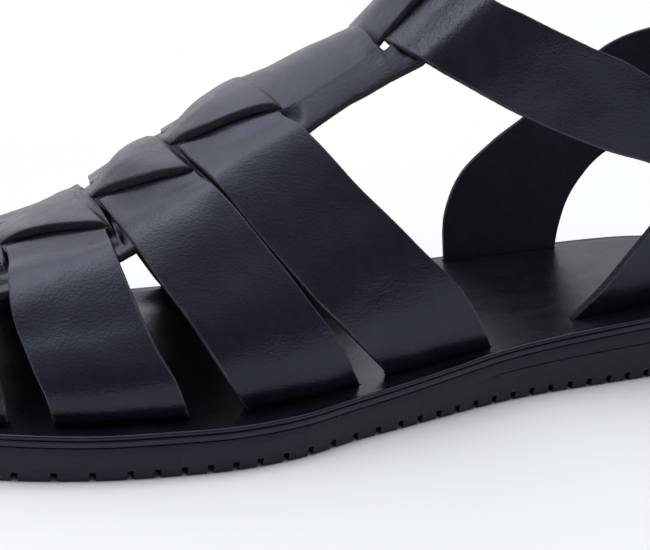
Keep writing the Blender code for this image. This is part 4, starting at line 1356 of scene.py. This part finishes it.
def tab():
    """Leather folded round the hinge bar, with a notch for the prong."""
    hollow = FRAME_ROD + SEAM
    reach = hollow + TAB_THICK
    round_bar = [math.radians(125 - 215 * step / 15) for step in range(16)]
    rows = TAB[::-1]
    edges = []
    for column in (1, 2):
        fold = float(np.interp(TAB_FOLD, [r[0] for r in rows], [r[column] for r in rows]))
        outline = [(reach * math.cos(t), reach * math.sin(t)) for t in round_bar]
        outline += [(row[0], row[column]) for row in TAB]
        outline += [(row[0], row[column] + TAB_THICK) for row in rows if row[0] < TAB_FOLD]
        outline += [(TAB_FOLD - 0.2, fold + TAB_THICK), (TAB_FOLD, fold + 2 * TAB_THICK)]
        outline += [(TAB[0][0], max(TAB[0][column] + 2 * TAB_THICK, -0.6))]
        edges.append(outline)
    obj = piece("buckle_loop", *plate(*edges, TAB_WIDE / 2), trim, "strap_leather")
    turns = [2 * math.pi * step / 24 for step in range(24)]
    hole = [(hollow * math.cos(t), hollow * math.sin(t)) for t in turns]
    notch = [(0.0, -4.0), (5.0, -4.0), (5.0, 4.0), (0.0, 4.0)]
    shapes = (("hole", hole, TAB_WIDE), ("notch", notch, PRONG_ROD + SEAM))
    carve(obj, [cutter(name, *plate(line, line, half, 2)) for name, line, half in shapes])
    return bevelled(obj, 0.22)


def keeper_loop():
    half = KEEPER_WIDE / 2
    whole = half + KEEPER_THICK
    points = []
    for a, shift, upper_foot, upper_top, lower_top, lower_foot in KEEPER:
        upper, lower = upper_top + KEEPER_THICK, lower_top + KEEPER_THICK
        outside = [(-whole, upper_foot), (-whole, upper_top + SHOULDER), (-half, upper)]
        outside += [(half, lower), (whole, lower_top + SHOULDER), (whole, lower_foot)]
        inside = [(half, lower_foot), (half, lower_top), (-half, upper_top), (-half, upper_foot)]
        points += [tuple(seat.at(a, b + shift, c)) for b, c in outside + inside]
    size = len(points) // 2
    obj = piece("strap_keeper", points, caps(2, size) + bands(2, size), trim, "strap_leather")
    return bevelled(obj, 0.3)


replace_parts(frame_ring(), "buckle_frame")
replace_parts(prong(), "buckle_prong")
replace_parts(tab(), "buckle_tab")
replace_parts(keeper_loop(), "keeper")
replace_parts(centre, "upper")
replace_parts(insole_piece, "insole")
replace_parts(sole_piece, "outsole")


# ---------------------------------------------------------------- studio
DIM = 0.25  # light from everywhere
LIGHTS = [  # azimuth from the heel round by the camera's side, height, narrowness, strength
    (0, 82, 14, 1.20),
    (-149, 67, 28, 3.30),
    (0, 58, 14, 0.52),
    (60, 58, 14, 0.41),
    (120, 58, 14, 0.12),
    (180, 58, 14, 0.60),
    (-120, 58, 14, 1.30),
    (-60, 58, 14, 0.98),
    (0, 35, 16, 0.29),
    (180, 35, 16, 0.41),
    (-90, 35, 16, 0.90),
    (-60, 35, 16, 0.10),
    (-90, 12, 20, 0.80),
    (-60, 12, 20, 0.45),
]
SKY = (0.935, 0.955, 1.0)
FLOOR_REACH, FLOOR_DROP = 6.0, 0.0002
SENSOR, LENS = 36.0, 91.4
CAMERA_AT, CAMERA_TOWARDS = (0.3874, -0.1628, 0.1628), (-0.8755, 0.3716, -0.3090)


def sky():
    """Soft studio surroundings: a sum of wide lights, brightest overhead and beyond the sandal."""
    world = bpy.data.worlds.new("studio")
    world.use_nodes = True
    nodes = Nodes(world.node_tree)
    ground = nodes.tree.nodes["Background"]
    seen = nodes.node("ShaderNodeTexCoord", {}, "Generated")
    total = DIM
    for azimuth, height, narrow, strength in LIGHTS:
        turn, rise = math.radians(azimuth), math.radians(height)
        flat = math.cos(rise)
        way = (math.sin(turn) * flat, math.cos(turn) * flat, math.sin(rise))
        inputs = {0: seen, 1: way}
        towards = nodes.node("ShaderNodeVectorMath", inputs, "Value", operation="DOT_PRODUCT")
        off = nodes.math("MULTIPLY", nodes.math("SUBTRACT", towards, 1.0), narrow)
        lobe = nodes.math("MULTIPLY", nodes.math("EXPONENT", off), strength)
        total = nodes.math("ADD", lobe, total)
    nodes.put(ground.inputs["Strength"], total)
    nodes.put(ground.inputs["Color"], SKY)
    return world


def studio():
    scene = bpy.context.scene
    camera = placed("camera", bpy.data.cameras.new("camera"))
    camera.data.sensor_width = SENSOR
    camera.data.lens = LENS
    camera.data.clip_start = 0.01
    camera.data.clip_end = 20.0
    camera.location = CAMERA_AT
    camera.rotation_euler = Vector(CAMERA_TOWARDS).to_track_quat("-Z", "Y").to_euler()
    scene.camera = camera

    mesh = bpy.data.meshes.new("floor")
    square = ((-1, -1), (1, -1), (1, 1), (-1, 1))
    corners = [(x * FLOOR_REACH, y * FLOOR_REACH, 0) for x, y in square]
    mesh.from_pydata(corners, [], [(0, 1, 2, 3)])
    mesh.materials.append(floor_look())
    floor = placed("floor", mesh)
    floor.location = (0, 0, -FLOOR_DROP)

    scene.world = sky()
    scene.view_settings.view_transform = "Standard"


studio()
